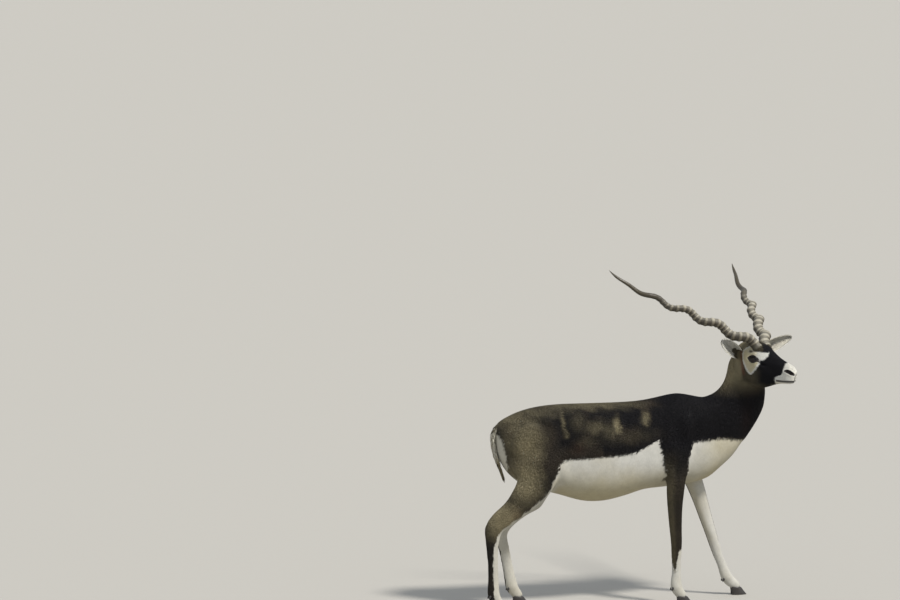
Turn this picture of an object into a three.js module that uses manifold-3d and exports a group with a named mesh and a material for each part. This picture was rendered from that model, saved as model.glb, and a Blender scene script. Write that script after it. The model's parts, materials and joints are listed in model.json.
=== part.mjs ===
// A standing blackbuck buck, life size, as a still model.
// X runs forward, Y to the animal's left, Z up from the ground; all sizes are millimetres.
import * as THREE from "three";
import { mergeVertices } from "three/addons/utils/BufferGeometryUtils.js";
import Module from "manifold-3d";

const wasm = await Module();
wasm.setup();

const vec = (x, y, z) => new THREE.Vector3(x, y, z);
const smoothStep = (low, high, value) => THREE.MathUtils.smoothstep(value, low, high);

// Driving dimensions
const gap = 0.3; // air between neighbouring nodes
const right = -1; // sign of Y on each side
const left = 1;

// Trunk stations from rump to breast: x, top z, bottom z, half width
const trunk = {
  stations: [
    [-700, 690, 628, 22],
    [-688, 708, 575, 54],
    [-656, 727, 520, 79],
    [-605, 748, 474, 95],
    [-540, 763, 448, 103],
    [-455, 770, 424, 106],
    [-365, 769, 397, 113],
    [-285, 768, 393, 118],
    [-205, 768, 408, 116],
    [-125, 772, 430, 110],
    [-50, 784, 436, 102],
    [10, 792, 441, 97],
    [70, 783, 449, 92],
    [130, 768, 466, 85],
    [185, 745, 510, 74],
    [232, 712, 556, 58],
    [268, 672, 602, 30],
  ],
  fullness: 2.15, // 2 is an ellipse, more is squarer
  widestAt: 0.42, // height of the widest line, as a share of the depth
  around: 20,
  between: 2,
};

// Neck stations from the shoulders up into the skull:
// nape x, nape z, throat x, throat z, half width, turn to the right in degrees, y of the middle
const neck = {
  stations: [
    [40, 760, 190, 540, 84, 0, 0],
    [105, 771, 260, 588, 75, 0, 0],
    [160, 790, 299, 636, 64, 3, 0],
    [193, 826, 327, 682, 55, 10, -3],
    [206, 868, 347, 726, 50, 21, -7],
    [210, 908, 354, 770, 47, 35, -14],
    [230, 944, 353, 818, 42, 50, -24],
    [258, 952, 334, 868, 30, 55, -32],
  ],
  around: 20,
  between: 2,
  baseCut: { at: vec(192, 0, 684), along: vec(0.77, 0, 0.64) },
};

// The head has its own frame: origin midway between the eyes, x to the nose, y left, z up
const head = {
  centre: vec(316, -78, 919),
  yaw: -55, // degrees, to the right of the body's line
  pitch: 7.5, // nose down
  roll: 4.5, // right side up
  // x, top z, bottom z, half width
  stations: [
    [-104, 30, -46, 22],
    [-94, 46, -64, 37],
    [-72, 60, -86, 47],
    [-40, 68, -101, 51],
    [-8, 67, -104, 52],
    [22, 61, -106, 49],
    [50, 47, -98, 41],
    [80, 34, -84, 32],
    [108, 25, -71, 27],
    [134, 18, -64, 26],
    [154, 14, -60, 25.5],
    [167, 4, -56, 22],
    [175, -11, -48, 13],
  ],
  around: 20,
  between: 2,
  fullness: 2.2,
  browLift: 12, // how far the widest line lies above the middle behind the eyes
  neckCut: { at: vec(-62, 0, -34), along: vec(0.88, 0, 0.47) },
};

const eye = {
  centre: vec(2, 37, 2),
  radius: 18.5,
  lidThickness: 2.8,
  openingLength: 36,
  openingHeight: 24,
  tilt: -10, // degrees, inner corner lower
  looks: vec(0.2, 1, 0.06), // the way that the opening faces, on the left side
  openingDepth: 40, // of the bar that cuts the opening, past the lids
  rows: 9,
};

const nostril = { at: vec(161, 16, -11), length: 9, height: 4.6, depth: 14, slant: 20, splay: 38 };
// The core is the share of the skull that the line of the mouth doesn't cut into
const mouth = { corner: 104, cornerZ: -57, frontZ: -44, front: 188, halfWidth: 48, height: 2.6, core: 0.84 };

const ear = {
  length: 150,
  halfWidth: 28,
  thickness: 3.4,
  curl: 1.25, // radians that the rim turns in, more at the root and less at the tip
  rootShare: 0.45, // width at the root, as a share of the widest
  depth: 0.55, // how deep the cup lies behind its rim, as a share of its radius
  along: 10,
  across: 5,
  rightSide: { root: vec(-80, -32, 4), tip: vec(-65, -168, 67), faces: vec(0.85, 0, -0.45) },
  leftSide: { root: vec(-58, 40, 14), tip: vec(33, 129, 93), faces: vec(0.72, -0.62, -0.2) },
};

const horn = {
  root: vec(22, 8, 46),
  direction: vec(-504, 361, 200),
  length: 660,
  rootDrop: 16, // how far the root bends down into the skull
  rootBend: 0.08, // share of the horn that bends so
  turns: 5.2,
  phase: -2.4, // radians, where the corkscrew starts
  swing: 9, // radius of the corkscrew
  sag: 18.7, // how far it hangs below a straight line, most at four fifths of the way
  spread: 9, // how far the middle bends outwards
  rootRadius: 21,
  tipRadius: 4,
  tipRounding: 0.05, // share of the horn that rounds off to the point
  rings: 26,
  ringHeight: 2.8,
  ringedShare: 0.78, // the rest of the horn, to the tip, is smooth
  ringFade: 0.25, // share of the horn over which the rings grow low
  straightFrom: 0.55, // where the corkscrew starts to straighten
  straightened: 0.93, // share of the swing that is gone at the tip
  flatness: 0.92, // height of the section against its width
  tipSteps: 13,
  around: 10,
};

const tail = {
  path: [vec(-660, 0, 706), vec(-700, 0, 682), vec(-709, 0, 630), vec(-694, 0, 566), vec(-673, 0, 512)],
  sizes: [vec(15, 12, 12), vec(17, 10, 10), vec(20, 8, 8), vec(19, 6, 6), vec(8, 3, 3)],
  locks: 9,
  lockSizes: [vec(5.5, 3.5, 3.5), vec(6, 3, 3), vec(1, 0.8, 0.8)],
  rootSpread: 12, // half the width of the row that the locks grow from
  tipSpread: 9,
  outerShorter: 34, // how much higher the outermost tips end
  tipAt: vec(-662, 0, 474),
};

// Legs: each joint is a place on the leg's line, and the profile gives its flesh there
// Profile rows: half width, flesh in front of the line, flesh behind it
const hindProfile = [
  [38, 88, 84],
  [48, 114, 104],
  [42, 76, 76],
  [28, 46, 48],
  [22, 34, 41],
  [17, 23, 29],
  [14, 20, 23],
  [14, 20, 23],
  [18, 23, 26],
  [16, 20, 19],
  [15, 19, 17],
];
const foreProfile = [
  [30, 60, 64],
  [37, 60, 66],
  [31, 38, 46],
  [24, 30, 33],
  [20, 24, 26],
  [21, 22, 22],
  [16, 18, 21],
  [14, 17, 21],
  [18, 22, 25],
  [16, 20, 18],
  [15, 19, 17],
];
const legs = {
  fore_right: {
    profile: foreProfile,
    cut: 206,
    span: [-75, 62],
    joints: [
      vec(30, -50, 668), vec(8, -70, 582), vec(-8, -80, 500), vec(-19, -88, 392), vec(-17, -87, 296),
      vec(-14, -86, 236), vec(-13, -85, 186), vec(-12, -85, 122), vec(-12, -85, 64), vec(8, -85, 32),
      vec(16, -85, 12),
    ],
  },
  fore_left: {
    profile: foreProfile,
    cut: 206,
    span: [52, 330],
    joints: [
      vec(40, 50, 668), vec(50, 68, 582), vec(78, 74, 505), vec(115, 76, 402), vec(147, 73, 300),
      vec(168, 71, 233), vec(184, 70, 184), vec(208, 70, 124), vec(232, 70, 66), vec(263, 70, 34),
      vec(274, 70, 14),
    ],
  },
  hind_right: {
    profile: hindProfile,
    cut: 262,
    span: [-820, -478],
    joints: [
      vec(-584, -50, 652), vec(-562, -68, 578), vec(-566, -80, 488), vec(-640, -96, 398),
      vec(-719, -95, 328), vec(-733, -94, 262), vec(-732, -93, 196), vec(-730, -92, 128),
      vec(-728, -92, 66), vec(-710, -92, 32), vec(-702, -92, 12),
    ],
  },
  hind_left: {
    profile: hindProfile,
    cut: 262,
    span: [-820, -450],
    joints: [
      vec(-572, 50, 652), vec(-534, 66, 578), vec(-508, 74, 484), vec(-546, 81, 398), vec(-622, 79, 330),
      vec(-652, 78, 272), vec(-641, 77, 206), vec(-626, 76, 132), vec(-612, 75, 66), vec(-591, 75, 34),
      vec(-582, 75, 14),
    ],
  },
};
const legShape = { around: 14, between: 2, top: 444, fetlockCut: 88, innerFace: 40 };
const hoof = {
  top: 30,
  soleLength: 29,
  topLength: 19,
  soleHalfWidth: 9.4,
  topHalfWidth: 8.6,
  reach: 13, // how far the sole's middle lies in front of the top's
  between: 1.4, // the cleft between the two claws
  toeNarrowing: 0.42,
  around: 10,
};
const dewclaw = {
  behind: 16, // the fetlock's line
  apart: 9,
  height: 64,
  towardTip: vec(-9, 2, -16),
  sizes: [vec(5, 5, 5), vec(2, 2, 2)],
};

const colours = {
  darkCoat: 0x241f22,
  blackCoat: 0x1c1a1e,
  whiteCoat: 0xcac6ba,
  haunchCoat: 0x4a443c,
  tailHair: 0x8a7a5c,
  earSkin: 0xc9c3b6,
  hornSheath: 0x5d544b,
  hoofHorn: 0x1b1917,
  eyeball: 0x0d0a09,
};

// Turns an indexed list of points into a closed solid, faces outwards
function solidOf(points, triangles) {
  const vertProperties = new Float32Array(points.flatMap((p) => [p.x, p.y, p.z]));
  const triVerts = new Uint32Array(triangles);
  let volume = 0;
  for (let i = 0; i < triVerts.length; i += 3) {
    const [a, b, c] = [points[triVerts[i]], points[triVerts[i + 1]], points[triVerts[i + 2]]];
    volume += a.dot(b.clone().cross(c));
  }
  if (volume < 0) {
    for (let i = 0; i < triVerts.length; i += 3) {
      [triVerts[i + 1], triVerts[i + 2]] = [triVerts[i + 2], triVerts[i + 1]];
    }
  }
  return new wasm.Manifold(new wasm.Mesh({ numProp: 3, vertProperties, triVerts }));
}

// A three.js geometry, moved by a matrix, as a closed solid
function solidOfGeometry(geometry, matrix = new THREE.Matrix4()) {
  const bare = geometry.clone().applyMatrix4(matrix);
  bare.deleteAttribute("normal");
  bare.deleteAttribute("uv");
  const merged = mergeVertices(bare, 1e-3);
  const place = merged.getAttribute("position");
  const points = Array.from({ length: place.count }, (_, i) => vec().fromBufferAttribute(place, i));
  return solidOf(points, merged.index.array);
}

// Skins a row of rings of equal count and closes both ends with a fan
function loft(rings) {
  const count = rings[0].length;
  const points = rings.flat();
  const triangles = [];
  for (let r = 0; r < rings.length - 1; r++) {
    for (let i = 0; i < count; i++) {
      const a = r * count + i;
      const b = r * count + ((i + 1) % count);
      triangles.push(a, b, b + count, a, b + count, a + count);
    }
  }
  for (const [ring, first] of [[rings[0], 0], [rings.at(-1), (rings.length - 1) * count]]) {
    const middle = ring.reduce((sum, p) => sum.add(p), vec(0, 0, 0)).divideScalar(count);
    points.push(middle);
    for (let i = 0; i < count; i++) {
      const [a, b] = [first + i, first + ((i + 1) % count)];
      triangles.push(...(first ? [a, b, points.length - 1] : [b, a, points.length - 1]));
    }
  }
  return solidOf(points, triangles);
}

// One ring: side is a half axis, rise and fall the half axes above and below the centre
function ring(centre, side, rise, fall, around, fullness = 2) {
  return Array.from({ length: around }, (_, i) => {
    const angle = (2 * Math.PI * i) / around;
    const [c, s] = [Math.cos(angle), Math.sin(angle)];
    const across = Math.sign(c) * Math.abs(c) ** (2 / fullness);
    const up = Math.sign(s) * Math.abs(s) ** (2 / fullness);
    return centre.clone()
      .addScaledVector(side, across)
      .addScaledVector(up > 0 ? rise : fall, Math.abs(up));
  });
}

// A smooth row of number lists through the given rows
function smoothRows(rows, between) {
  const out = [];
  const last = rows.length - 1;
  for (let step = 0; step <= last * between; step++) {
    const i = Math.min(Math.floor(step / between), last - 1);
    const t = step / between - i;
    const [a, b] = [rows[i], rows[i + 1]];
    const [p, q] = [rows[Math.max(i - 1, 0)], rows[Math.min(i + 2, last)]];
    out.push(
      a.map((_, k) => {
        const [m0, m1] = [(b[k] - p[k]) / 2, (q[k] - a[k]) / 2];
        const [t2, t3] = [t * t, t * t * t];
        const ends = (2 * t3 - 3 * t2 + 1) * a[k] + (3 * t2 - 2 * t3) * b[k];
        return ends + (t3 - 2 * t2 + t) * m0 + (t3 - t2) * m1;
      }),
    );
  }
  return out;
}

// A tapering form along a line of joints; sideways stays the same, front and back follow the line
function limb(joints, sizes, around, between, sideways = vec(0, 1, 0)) {
  const stations = joints.map((p, i) => [...p.toArray(), ...sizes[i].toArray()]);
  const rows = smoothRows(stations, between);
  return loft(
    rows.map(([x, y, z, halfWidth, front, back], i) => {
      const before = rows[Math.max(i - 1, 0)];
      const after = rows[Math.min(i + 1, rows.length - 1)];
      const along = vec(after[0] - before[0], after[1] - before[1], after[2] - before[2]).normalize();
      const forward = sideways.clone().cross(along).normalize();
      if (forward.x < 0) forward.negate();
      return ring(
        vec(x, y, z),
        sideways.clone().multiplyScalar(halfWidth),
        forward.clone().multiplyScalar(front),
        forward.clone().multiplyScalar(-back),
        around,
      );
    }),
  );
}

// A block with one face on a plane: what lies past the plane, as far as the block reaches
function beyond(at, along, shift = 0) {
  const [reach, depth] = [700, 700];
  const direction = along.clone().normalize();
  const turn = new THREE.Quaternion().setFromUnitVectors(vec(0, 0, 1), direction);
  const middle = at.clone().addScaledVector(direction, depth / 2 + shift);
  const matrix = new THREE.Matrix4().compose(middle, turn, vec(1, 1, 1));
  return solidOfGeometry(new THREE.BoxGeometry(2 * reach, 2 * reach, depth), matrix);
}

// The block between two corners
function block(low, high) {
  const size = high.clone().sub(low);
  const middle = low.clone().add(high).divideScalar(2);
  return solidOfGeometry(
    new THREE.BoxGeometry(size.x, size.y, size.z),
    new THREE.Matrix4().makeTranslation(middle.x, middle.y, middle.z),
  );
}

const joined = (solids) => solids.reduce((all, next) => all.add(next));
const larger = (one, other) => (other.volume() > one.volume() ? other : one);
const largest = (solid) => solid.decompose().reduce(larger);

// The head's frame in the body's
const headForward = vec(1, 0, 0)
  .applyAxisAngle(vec(0, 1, 0), THREE.MathUtils.degToRad(head.pitch))
  .applyAxisAngle(vec(0, 0, 1), THREE.MathUtils.degToRad(head.yaw));
const headLeft = vec(0, 1, 0)
  .applyAxisAngle(vec(0, 0, 1), THREE.MathUtils.degToRad(head.yaw))
  .applyAxisAngle(headForward, THREE.MathUtils.degToRad(-head.roll));
const headUp = headForward.clone().cross(headLeft);
const headMatrix = new THREE.Matrix4().makeBasis(headForward, headLeft, headUp).setPosition(head.centre);
const fromHead = (point) => point.clone().applyMatrix4(headMatrix);
const headAway = (direction) => direction.clone().transformDirection(headMatrix);

// The trunk: upright sections from rump to breast, widest a little below the middle
function trunkSolid() {
  return loft(
    smoothRows(trunk.stations, trunk.between).map(([x, top, bottom, halfWidth]) => {
      const middle = bottom + (top - bottom) * trunk.widestAt;
      return ring(
        vec(x, 0, middle),
        vec(0, halfWidth, 0),
        vec(0, 0, top - middle),
        vec(0, 0, bottom - middle),
        trunk.around,
        trunk.fullness,
      );
    }),
  );
}

// The neck: sections from nape to throat that turn to the right on their way up
function neckSolid() {
  return loft(
    smoothRows(neck.stations, neck.between).map(([napeX, napeZ, throatX, throatZ, halfWidth, turn, y]) => {
      const centre = vec((napeX + throatX) / 2, y, (napeZ + throatZ) / 2);
      const angle = THREE.MathUtils.degToRad(-turn);
      const upright = vec(0, 0, 1);
      const toThroat = vec((throatX - napeX) / 2, 0, (throatZ - napeZ) / 2).applyAxisAngle(upright, angle);
      const side = vec(0, halfWidth, 0).applyAxisAngle(upright, angle);
      return ring(centre, side, toThroat, toThroat.clone().negate(), neck.around);
    }),
  );
}

// A skull-shaped loft in the head's frame; grow thins or thickens it
function skullSolid(grow = 1) {
  return loft(
    smoothRows(head.stations, head.between).map(([x, top, bottom, halfWidth]) => {
      const middle = (top + bottom) / 2 + head.browLift * (1 - smoothStep(-20, 60, x));
      return ring(
        vec(x, 0, middle),
        vec(0, halfWidth * grow, 0),
        vec(0, 0, (top - middle) * grow),
        vec(0, 0, (bottom - middle) * grow),
        head.around,
        head.fullness,
      ).map(fromHead);
    }),
  );
}

const eyePlace = (side) => vec(eye.centre.x, side * eye.centre.y, eye.centre.z);

function eyeball(side, radius) {
  const middle = fromHead(eyePlace(side));
  return solidOfGeometry(
    new THREE.SphereGeometry(radius, eye.rows + 6, eye.rows),
    new THREE.Matrix4().makeTranslation(middle.x, middle.y, middle.z),
  );
}

// The almond opening between the lids, as a bar that runs outwards from the eye's middle
function lidOpening(side) {
  const [half, rise] = [eye.openingLength / 2, eye.openingHeight];
  const outline = new THREE.Shape()
    .moveTo(-half, 0)
    .quadraticCurveTo(0, rise, half, 0)
    .quadraticCurveTo(0, -rise, -half, 0);
  const size = { depth: eye.openingDepth, bevelEnabled: false, curveSegments: 6 };
  const bar = new THREE.ExtrudeGeometry(outline, size);
  const outwards = vec(eye.looks.x, side * eye.looks.y, eye.looks.z).normalize();
  const along = vec(1, 0, Math.sin(THREE.MathUtils.degToRad(eye.tilt)));
  along.addScaledVector(outwards, -along.dot(outwards)).normalize();
  const matrix = new THREE.Matrix4()
    .makeBasis(along, outwards.clone().cross(along), outwards)
    .setPosition(eyePlace(side))
    .premultiply(headMatrix);
  return solidOfGeometry(bar, matrix);
}

// A nostril: a flattened slanted hollow
function nostrilHollow(side) {
  const slant = THREE.MathUtils.degToRad(nostril.slant);
  const splay = THREE.MathUtils.degToRad(side * nostril.splay);
  const turn = new THREE.Matrix4().makeRotationFromEuler(new THREE.Euler(0, slant, splay));
  const matrix = turn
    .scale(vec(nostril.depth, nostril.length, nostril.height))
    .setPosition(nostril.at.x, side * nostril.at.y, nostril.at.z)
    .premultiply(headMatrix);
  return solidOfGeometry(new THREE.SphereGeometry(1, 10, 7), matrix);
}

// The line of the mouth: a thin sheet from corner to front, cut only a little way in
function mouthGroove() {
  const rings = [0, 0.35, 0.7, 1].map((t) => {
    const x = THREE.MathUtils.lerp(mouth.corner, mouth.front, t);
    const z = THREE.MathUtils.lerp(mouth.cornerZ, mouth.frontZ, smoothStep(0, 1, t));
    const [wide, high] = [mouth.halfWidth, mouth.height / 2];
    const corners = [[-wide, -high], [wide, -high], [wide, high], [-wide, high]];
    return corners.map(([y, up]) => fromHead(vec(x, y, z + up)));
  });
  return loft(rings).subtract(skullSolid(mouth.core));
}

// An ear: a leaf-shaped sheet whose rims curl in to a cup, thick enough to hold
function earSolid(place) {
  const axis = place.tip.clone().sub(place.root).normalize();
  const faces = place.faces.clone().addScaledVector(axis, -place.faces.dot(axis)).normalize();
  const across = faces.clone().cross(axis);
  const columns = 2 * ear.across + 1;
  const sheet = (inner) =>
    Array.from({ length: ear.along + 1 }, (_, i) => {
      const t = i / ear.along;
      const swell = Math.sin(Math.PI * Math.min(t * 1.25, 1) ** 0.8 * 0.62);
      const point = Math.sqrt(Math.max(1 - t ** 3.2, 0.02));
      const width = ear.halfWidth * (ear.rootShare + (1 - ear.rootShare) * swell) * point;
      const curl = ear.curl * (1.5 - 0.9 * t);
      const radius = width / Math.sin(Math.min(curl, 1.45));
      return Array.from({ length: columns }, (_, j) => {
        const angle = curl * (j / ear.across - 1);
        const reach = radius - (inner ? ear.thickness * (1 - 0.4 * t) : 0);
        return fromHead(
          place.root.clone()
            .addScaledVector(axis, ear.length * t)
            .addScaledVector(across, reach * Math.sin(angle))
            .addScaledVector(faces, radius * ear.depth - reach * Math.cos(angle)),
        );
      });
    });
  // The outer and inner sheets joined round the rim make one closed tube of sections
  const [outer, inside] = [sheet(false), sheet(true)];
  const rings = outer.map((row, i) => [...row, ...inside[i].toReversed()]);
  return stripLoft(rings, columns);
}

// Like loft, but each end is closed by a strip between the two halves of its ring, for curled sections
function stripLoft(rings, columns) {
  const count = 2 * columns;
  const triangles = [];
  for (let r = 0; r < rings.length - 1; r++) {
    for (let i = 0; i < count; i++) {
      const a = r * count + i;
      const b = r * count + ((i + 1) % count);
      triangles.push(a, b, b + count, a, b + count, a + count);
    }
  }
  for (const first of [0, (rings.length - 1) * count]) {
    for (let j = 0; j < columns - 1; j++) {
      const [a, b] = [first + j, first + j + 1];
      const [d, c] = [first + count - 1 - j, first + count - 2 - j];
      triangles.push(...(first ? [a, b, c, a, c, d] : [b, a, c, c, a, d]));
    }
  }
  return solidOf(rings.flat(), triangles);
}

// A horn: a corkscrew that straightens to a smooth tip, with raised rings along its lower part
function hornSolid(side) {
  const axis = vec(horn.direction.x, side * horn.direction.y, horn.direction.z).normalize();
  const across = vec(0, 0, side).cross(axis).normalize();
  const upward = axis.clone().cross(across).multiplyScalar(side);
  const root = vec(horn.root.x, side * horn.root.y, horn.root.z);
  const sagPeak = 0.8 ** 4 * 0.2;
  const line = (t) => {
    const straight = horn.straightened * smoothStep(horn.straightFrom, 1, t);
    const swing = horn.swing * smoothStep(0, 0.12, t) * (1 - straight);
    const angle = 2 * Math.PI * horn.turns * t + horn.phase;
    const sag = (horn.sag * t ** 4 * (1 - t)) / sagPeak;
    const drop = horn.rootDrop * (1 - smoothStep(0, horn.rootBend, t));
    return root.clone()
      .addScaledVector(axis, horn.length * t)
      .addScaledVector(across, swing * Math.cos(angle) - horn.spread * Math.sin(Math.PI * t))
      .addScaledVector(upward, swing * Math.sin(angle) - sag - drop);
  };
  // Two sections to a ring, one in the groove and one on the crest, then plain sections to the tip
  const perRing = 2;
  const ringed = Array.from({ length: perRing * horn.rings }, (_, i) => i / (perRing * horn.rings))
    .map((share) => horn.ringedShare * share);
  const smooth = Array.from({ length: horn.tipSteps + 1 }, (_, i) => i / horn.tipSteps)
    .map((share) => THREE.MathUtils.lerp(horn.ringedShare, 1, share));
  const rings = [...ringed, ...smooth].map((t, i) => {
    const centre = line(t);
    const along = line(Math.min(t + 0.01, 1)).sub(line(Math.max(t - 0.01, 0))).normalize();
    const sideAxis = upward.clone().cross(along).normalize();
    const riseAxis = along.clone().cross(sideAxis);
    const low = smoothStep(horn.ringedShare - horn.ringFade, horn.ringedShare, t);
    const crest = (i % 2) * horn.ringHeight * (1 - low);
    const taper = THREE.MathUtils.lerp(horn.rootRadius, horn.tipRadius, t ** 1.5);
    const point = Math.sqrt(Math.min(Math.max((1 - t) / horn.tipRounding, 0.03), 1));
    const radius = (taper + crest - (horn.ringHeight / 2) * (1 - low)) * point;
    return ring(
      centre,
      sideAxis.multiplyScalar(radius),
      riseAxis.clone().multiplyScalar(radius * horn.flatness),
      riseAxis.clone().multiplyScalar(-radius * horn.flatness),
      horn.around,
    ).map(fromHead);
  });
  return loft(rings);
}

// The tail: a flat dock with locks of hair that hang past it
function tailSolid() {
  const dock = limb(tail.path, tail.sizes, 8, 2);
  const locks = Array.from({ length: tail.locks }, (_, i) => {
    const share = i / (tail.locks - 1);
    const spread = 2 * share - 1;
    const root = tail.path[3].clone().lerp(tail.path[2], 0.75 * Math.abs(spread));
    root.y = spread * tail.rootSpread;
    const outer = Math.abs(spread);
    const tip = tail.tipAt.clone().add(vec(-6 * outer, tail.tipSpread * spread, tail.outerShorter * outer));
    const bend = root.clone().lerp(tip, 0.55).add(vec(-7, 2 * spread, 0));
    return limb([root, bend, tip], tail.lockSizes, 6, 2);
  });
  return joined([dock, ...locks]);
}

// A claw of a cloven hoof: level sections from the sole up, drawn out to a toe in front
function clawSolid(foot, side) {
  const levels = [0, 0.5, 1].map((share) => {
    const half = THREE.MathUtils.lerp(hoof.soleLength, hoof.topLength, share);
    const width = THREE.MathUtils.lerp(hoof.soleHalfWidth, hoof.topHalfWidth, share);
    const middle = foot.clone();
    middle.x += hoof.reach * (1 - share);
    middle.y += side * (width + hoof.between / 2);
    middle.z = (hoof.top - gap) * share;
    return Array.from({ length: hoof.around }, (_, i) => {
      const angle = (2 * Math.PI * i) / hoof.around;
      const narrow = 1 - hoof.toeNarrowing * Math.max(Math.cos(angle), 0) ** 2;
      return middle.clone().add(vec(half * Math.cos(angle), width * Math.sin(angle) * narrow, 0));
    });
  });
  return loft(levels);
}

const wayOut = 3000; // past every part of the animal
const trunkForm = trunkSolid();
const skull = skullSolid();
const legForms = Object.values(legs).map((leg) =>
  limb(leg.joints, leg.profile.map((size) => vec(...size)), legShape.around, legShape.between),
);

// Where on each leg's list of joints the fetlock and the foot are
const fetlockJoint = 8;
const footJoint = 9;

// The two small false hooves behind each fetlock
const dewclaws = Object.values(legs).flatMap((leg) => {
  const fetlock = leg.joints[fetlockJoint];
  return [right, left].map((side) => {
    const root = vec(fetlock.x - dewclaw.behind, fetlock.y + side * dewclaw.apart, dewclaw.height);
    const toTip = vec(dewclaw.towardTip.x, side * dewclaw.towardTip.y, dewclaw.towardTip.z);
    return limb([root, root.clone().add(toTip)], dewclaw.sizes, 6, 1);
  });
});

const lidBulges = [right, left].map((side) => eyeball(side, eye.radius + eye.lidThickness));
const hollows = [right, left].flatMap((side) => [
  eyeball(side, eye.radius + gap),
  lidOpening(side),
  nostrilHollow(side),
]);
const headForm = joined([skull, ...lidBulges]).subtract(joined(hollows)).subtract(mouthGroove());
const flesh = joined([trunkForm, neckSolid(), headForm, ...legForms, ...dewclaws])
  .intersect(block(vec(-wayOut, -wayOut, hoof.top), vec(wayOut, wayOut, wayOut)));

// Parts the flesh into its nodes with thin plane cuts
const nodes = new Map();
const headCut = [fromHead(head.neckCut.at), headAway(head.neckCut.along)];
const neckCut = [neck.baseCut.at, neck.baseCut.along];
nodes.set("head", flesh.intersect(beyond(...headCut)));
nodes.set("neck", flesh.intersect(beyond(...neckCut)).subtract(beyond(...headCut, -gap)));
let torso = flesh.subtract(beyond(...neckCut, -gap));
for (const [name, leg] of Object.entries(legs)) {
  const side = Math.sign(leg.joints[0].y);
  const [end, where] = name.split("_");
  const [low, high] = side < 0 ? [-wayOut, -legShape.innerFace] : [legShape.innerFace, wayOut];
  const part = (bottom, top) => block(vec(leg.span[0], low, bottom), vec(leg.span[1], high, top));
  const mine = flesh.intersect(part(0, legShape.top));
  nodes.set(`${end}leg_upper_${where}`, mine.intersect(part(leg.cut, legShape.top)));
  nodes.set(`${end}leg_cannon_${where}`, mine.intersect(part(legShape.fetlockCut, leg.cut - gap)));
  nodes.set(`${end}leg_pastern_${where}`, mine.intersect(part(0, legShape.fetlockCut - gap)));
  torso = torso.subtract(part(0, legShape.top + gap));
  const foot = leg.joints[footJoint];
  for (const [claw, clawSide] of [["right", right], ["left", left]]) {
    nodes.set(`${end}hoof_${where}_claw_${claw}`, clawSolid(foot, clawSide));
  }
}
nodes.set("torso", torso);

// Ears, horns and tail keep a little air to the form that they grow from
function rootedOn(solid, base, away) {
  const shifted = [0.8, 1.6].map((gaps) => base.translate(away.clone().setLength(gaps * gap).toArray()));
  return solid.subtract(joined([base, ...shifted]));
}
const headBase = joined([skull, ...lidBulges]);
const sides = [["right", right], ["left", left]];
for (const [name, side] of sides) {
  const place = side === right ? ear.rightSide : ear.leftSide;
  const earAway = headAway(place.tip.clone().sub(place.root));
  const hornAway = headAway(vec(-0.3, side * 0.4, 0.85));
  const hornForm = hornSolid(side);
  nodes.set(`ear_${name}`, rootedOn(earSolid(place), headBase.add(hornForm), earAway));
  nodes.set(`horn_${name}`, rootedOn(hornForm, headBase, hornAway));
  nodes.set(`eye_${name}`, eyeball(side, eye.radius));
}
nodes.set("tail", rootedOn(tailSolid(), trunkForm, vec(-0.8, 0, 0.45)));

const coats = {
  torso: colours.darkCoat,
  neck: colours.blackCoat,
  head: colours.blackCoat,
  tail: colours.tailHair,
};
function colourOf(name) {
  if (name.startsWith("ear")) return colours.earSkin;
  if (name.startsWith("horn")) return colours.hornSheath;
  if (name.startsWith("eye")) return colours.eyeball;
  if (name.includes("hoof")) return colours.hoofHorn;
  if (name.startsWith("hindleg")) return colours.haunchCoat;
  if (name.startsWith("foreleg")) return colours.whiteCoat;
  return coats[name];
}

// A solid as a named mesh with its own material
function meshOf(name, solid) {
  const made = largest(solid).getMesh();
  const geometry = new THREE.BufferGeometry();
  geometry.setAttribute("position", new THREE.BufferAttribute(new Float32Array(made.vertProperties), 3));
  geometry.setIndex(new THREE.BufferAttribute(new Uint32Array(made.triVerts), 1));
  geometry.computeVertexNormals();
  const hard = name.startsWith("eye") ? 0.12 : name.includes("hoof") || name.startsWith("horn") ? 0.5 : 0.8;
  const material = new THREE.MeshStandardMaterial({ color: colourOf(name), roughness: hard, metalness: 0 });
  const mesh = new THREE.Mesh(geometry, material);
  mesh.name = name;
  return mesh;
}

const blackbuck = new THREE.Group();
for (const [name, solid] of nodes) blackbuck.add(meshOf(name, solid));

// The origin lies on the ground, under the middle of the whole animal
const box = new THREE.Box3().setFromObject(blackbuck);
const middle = box.getCenter(vec());
blackbuck.position.set(-middle.x, -middle.y, -box.min.z);

export default blackbuck;
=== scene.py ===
import json
import math

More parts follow.
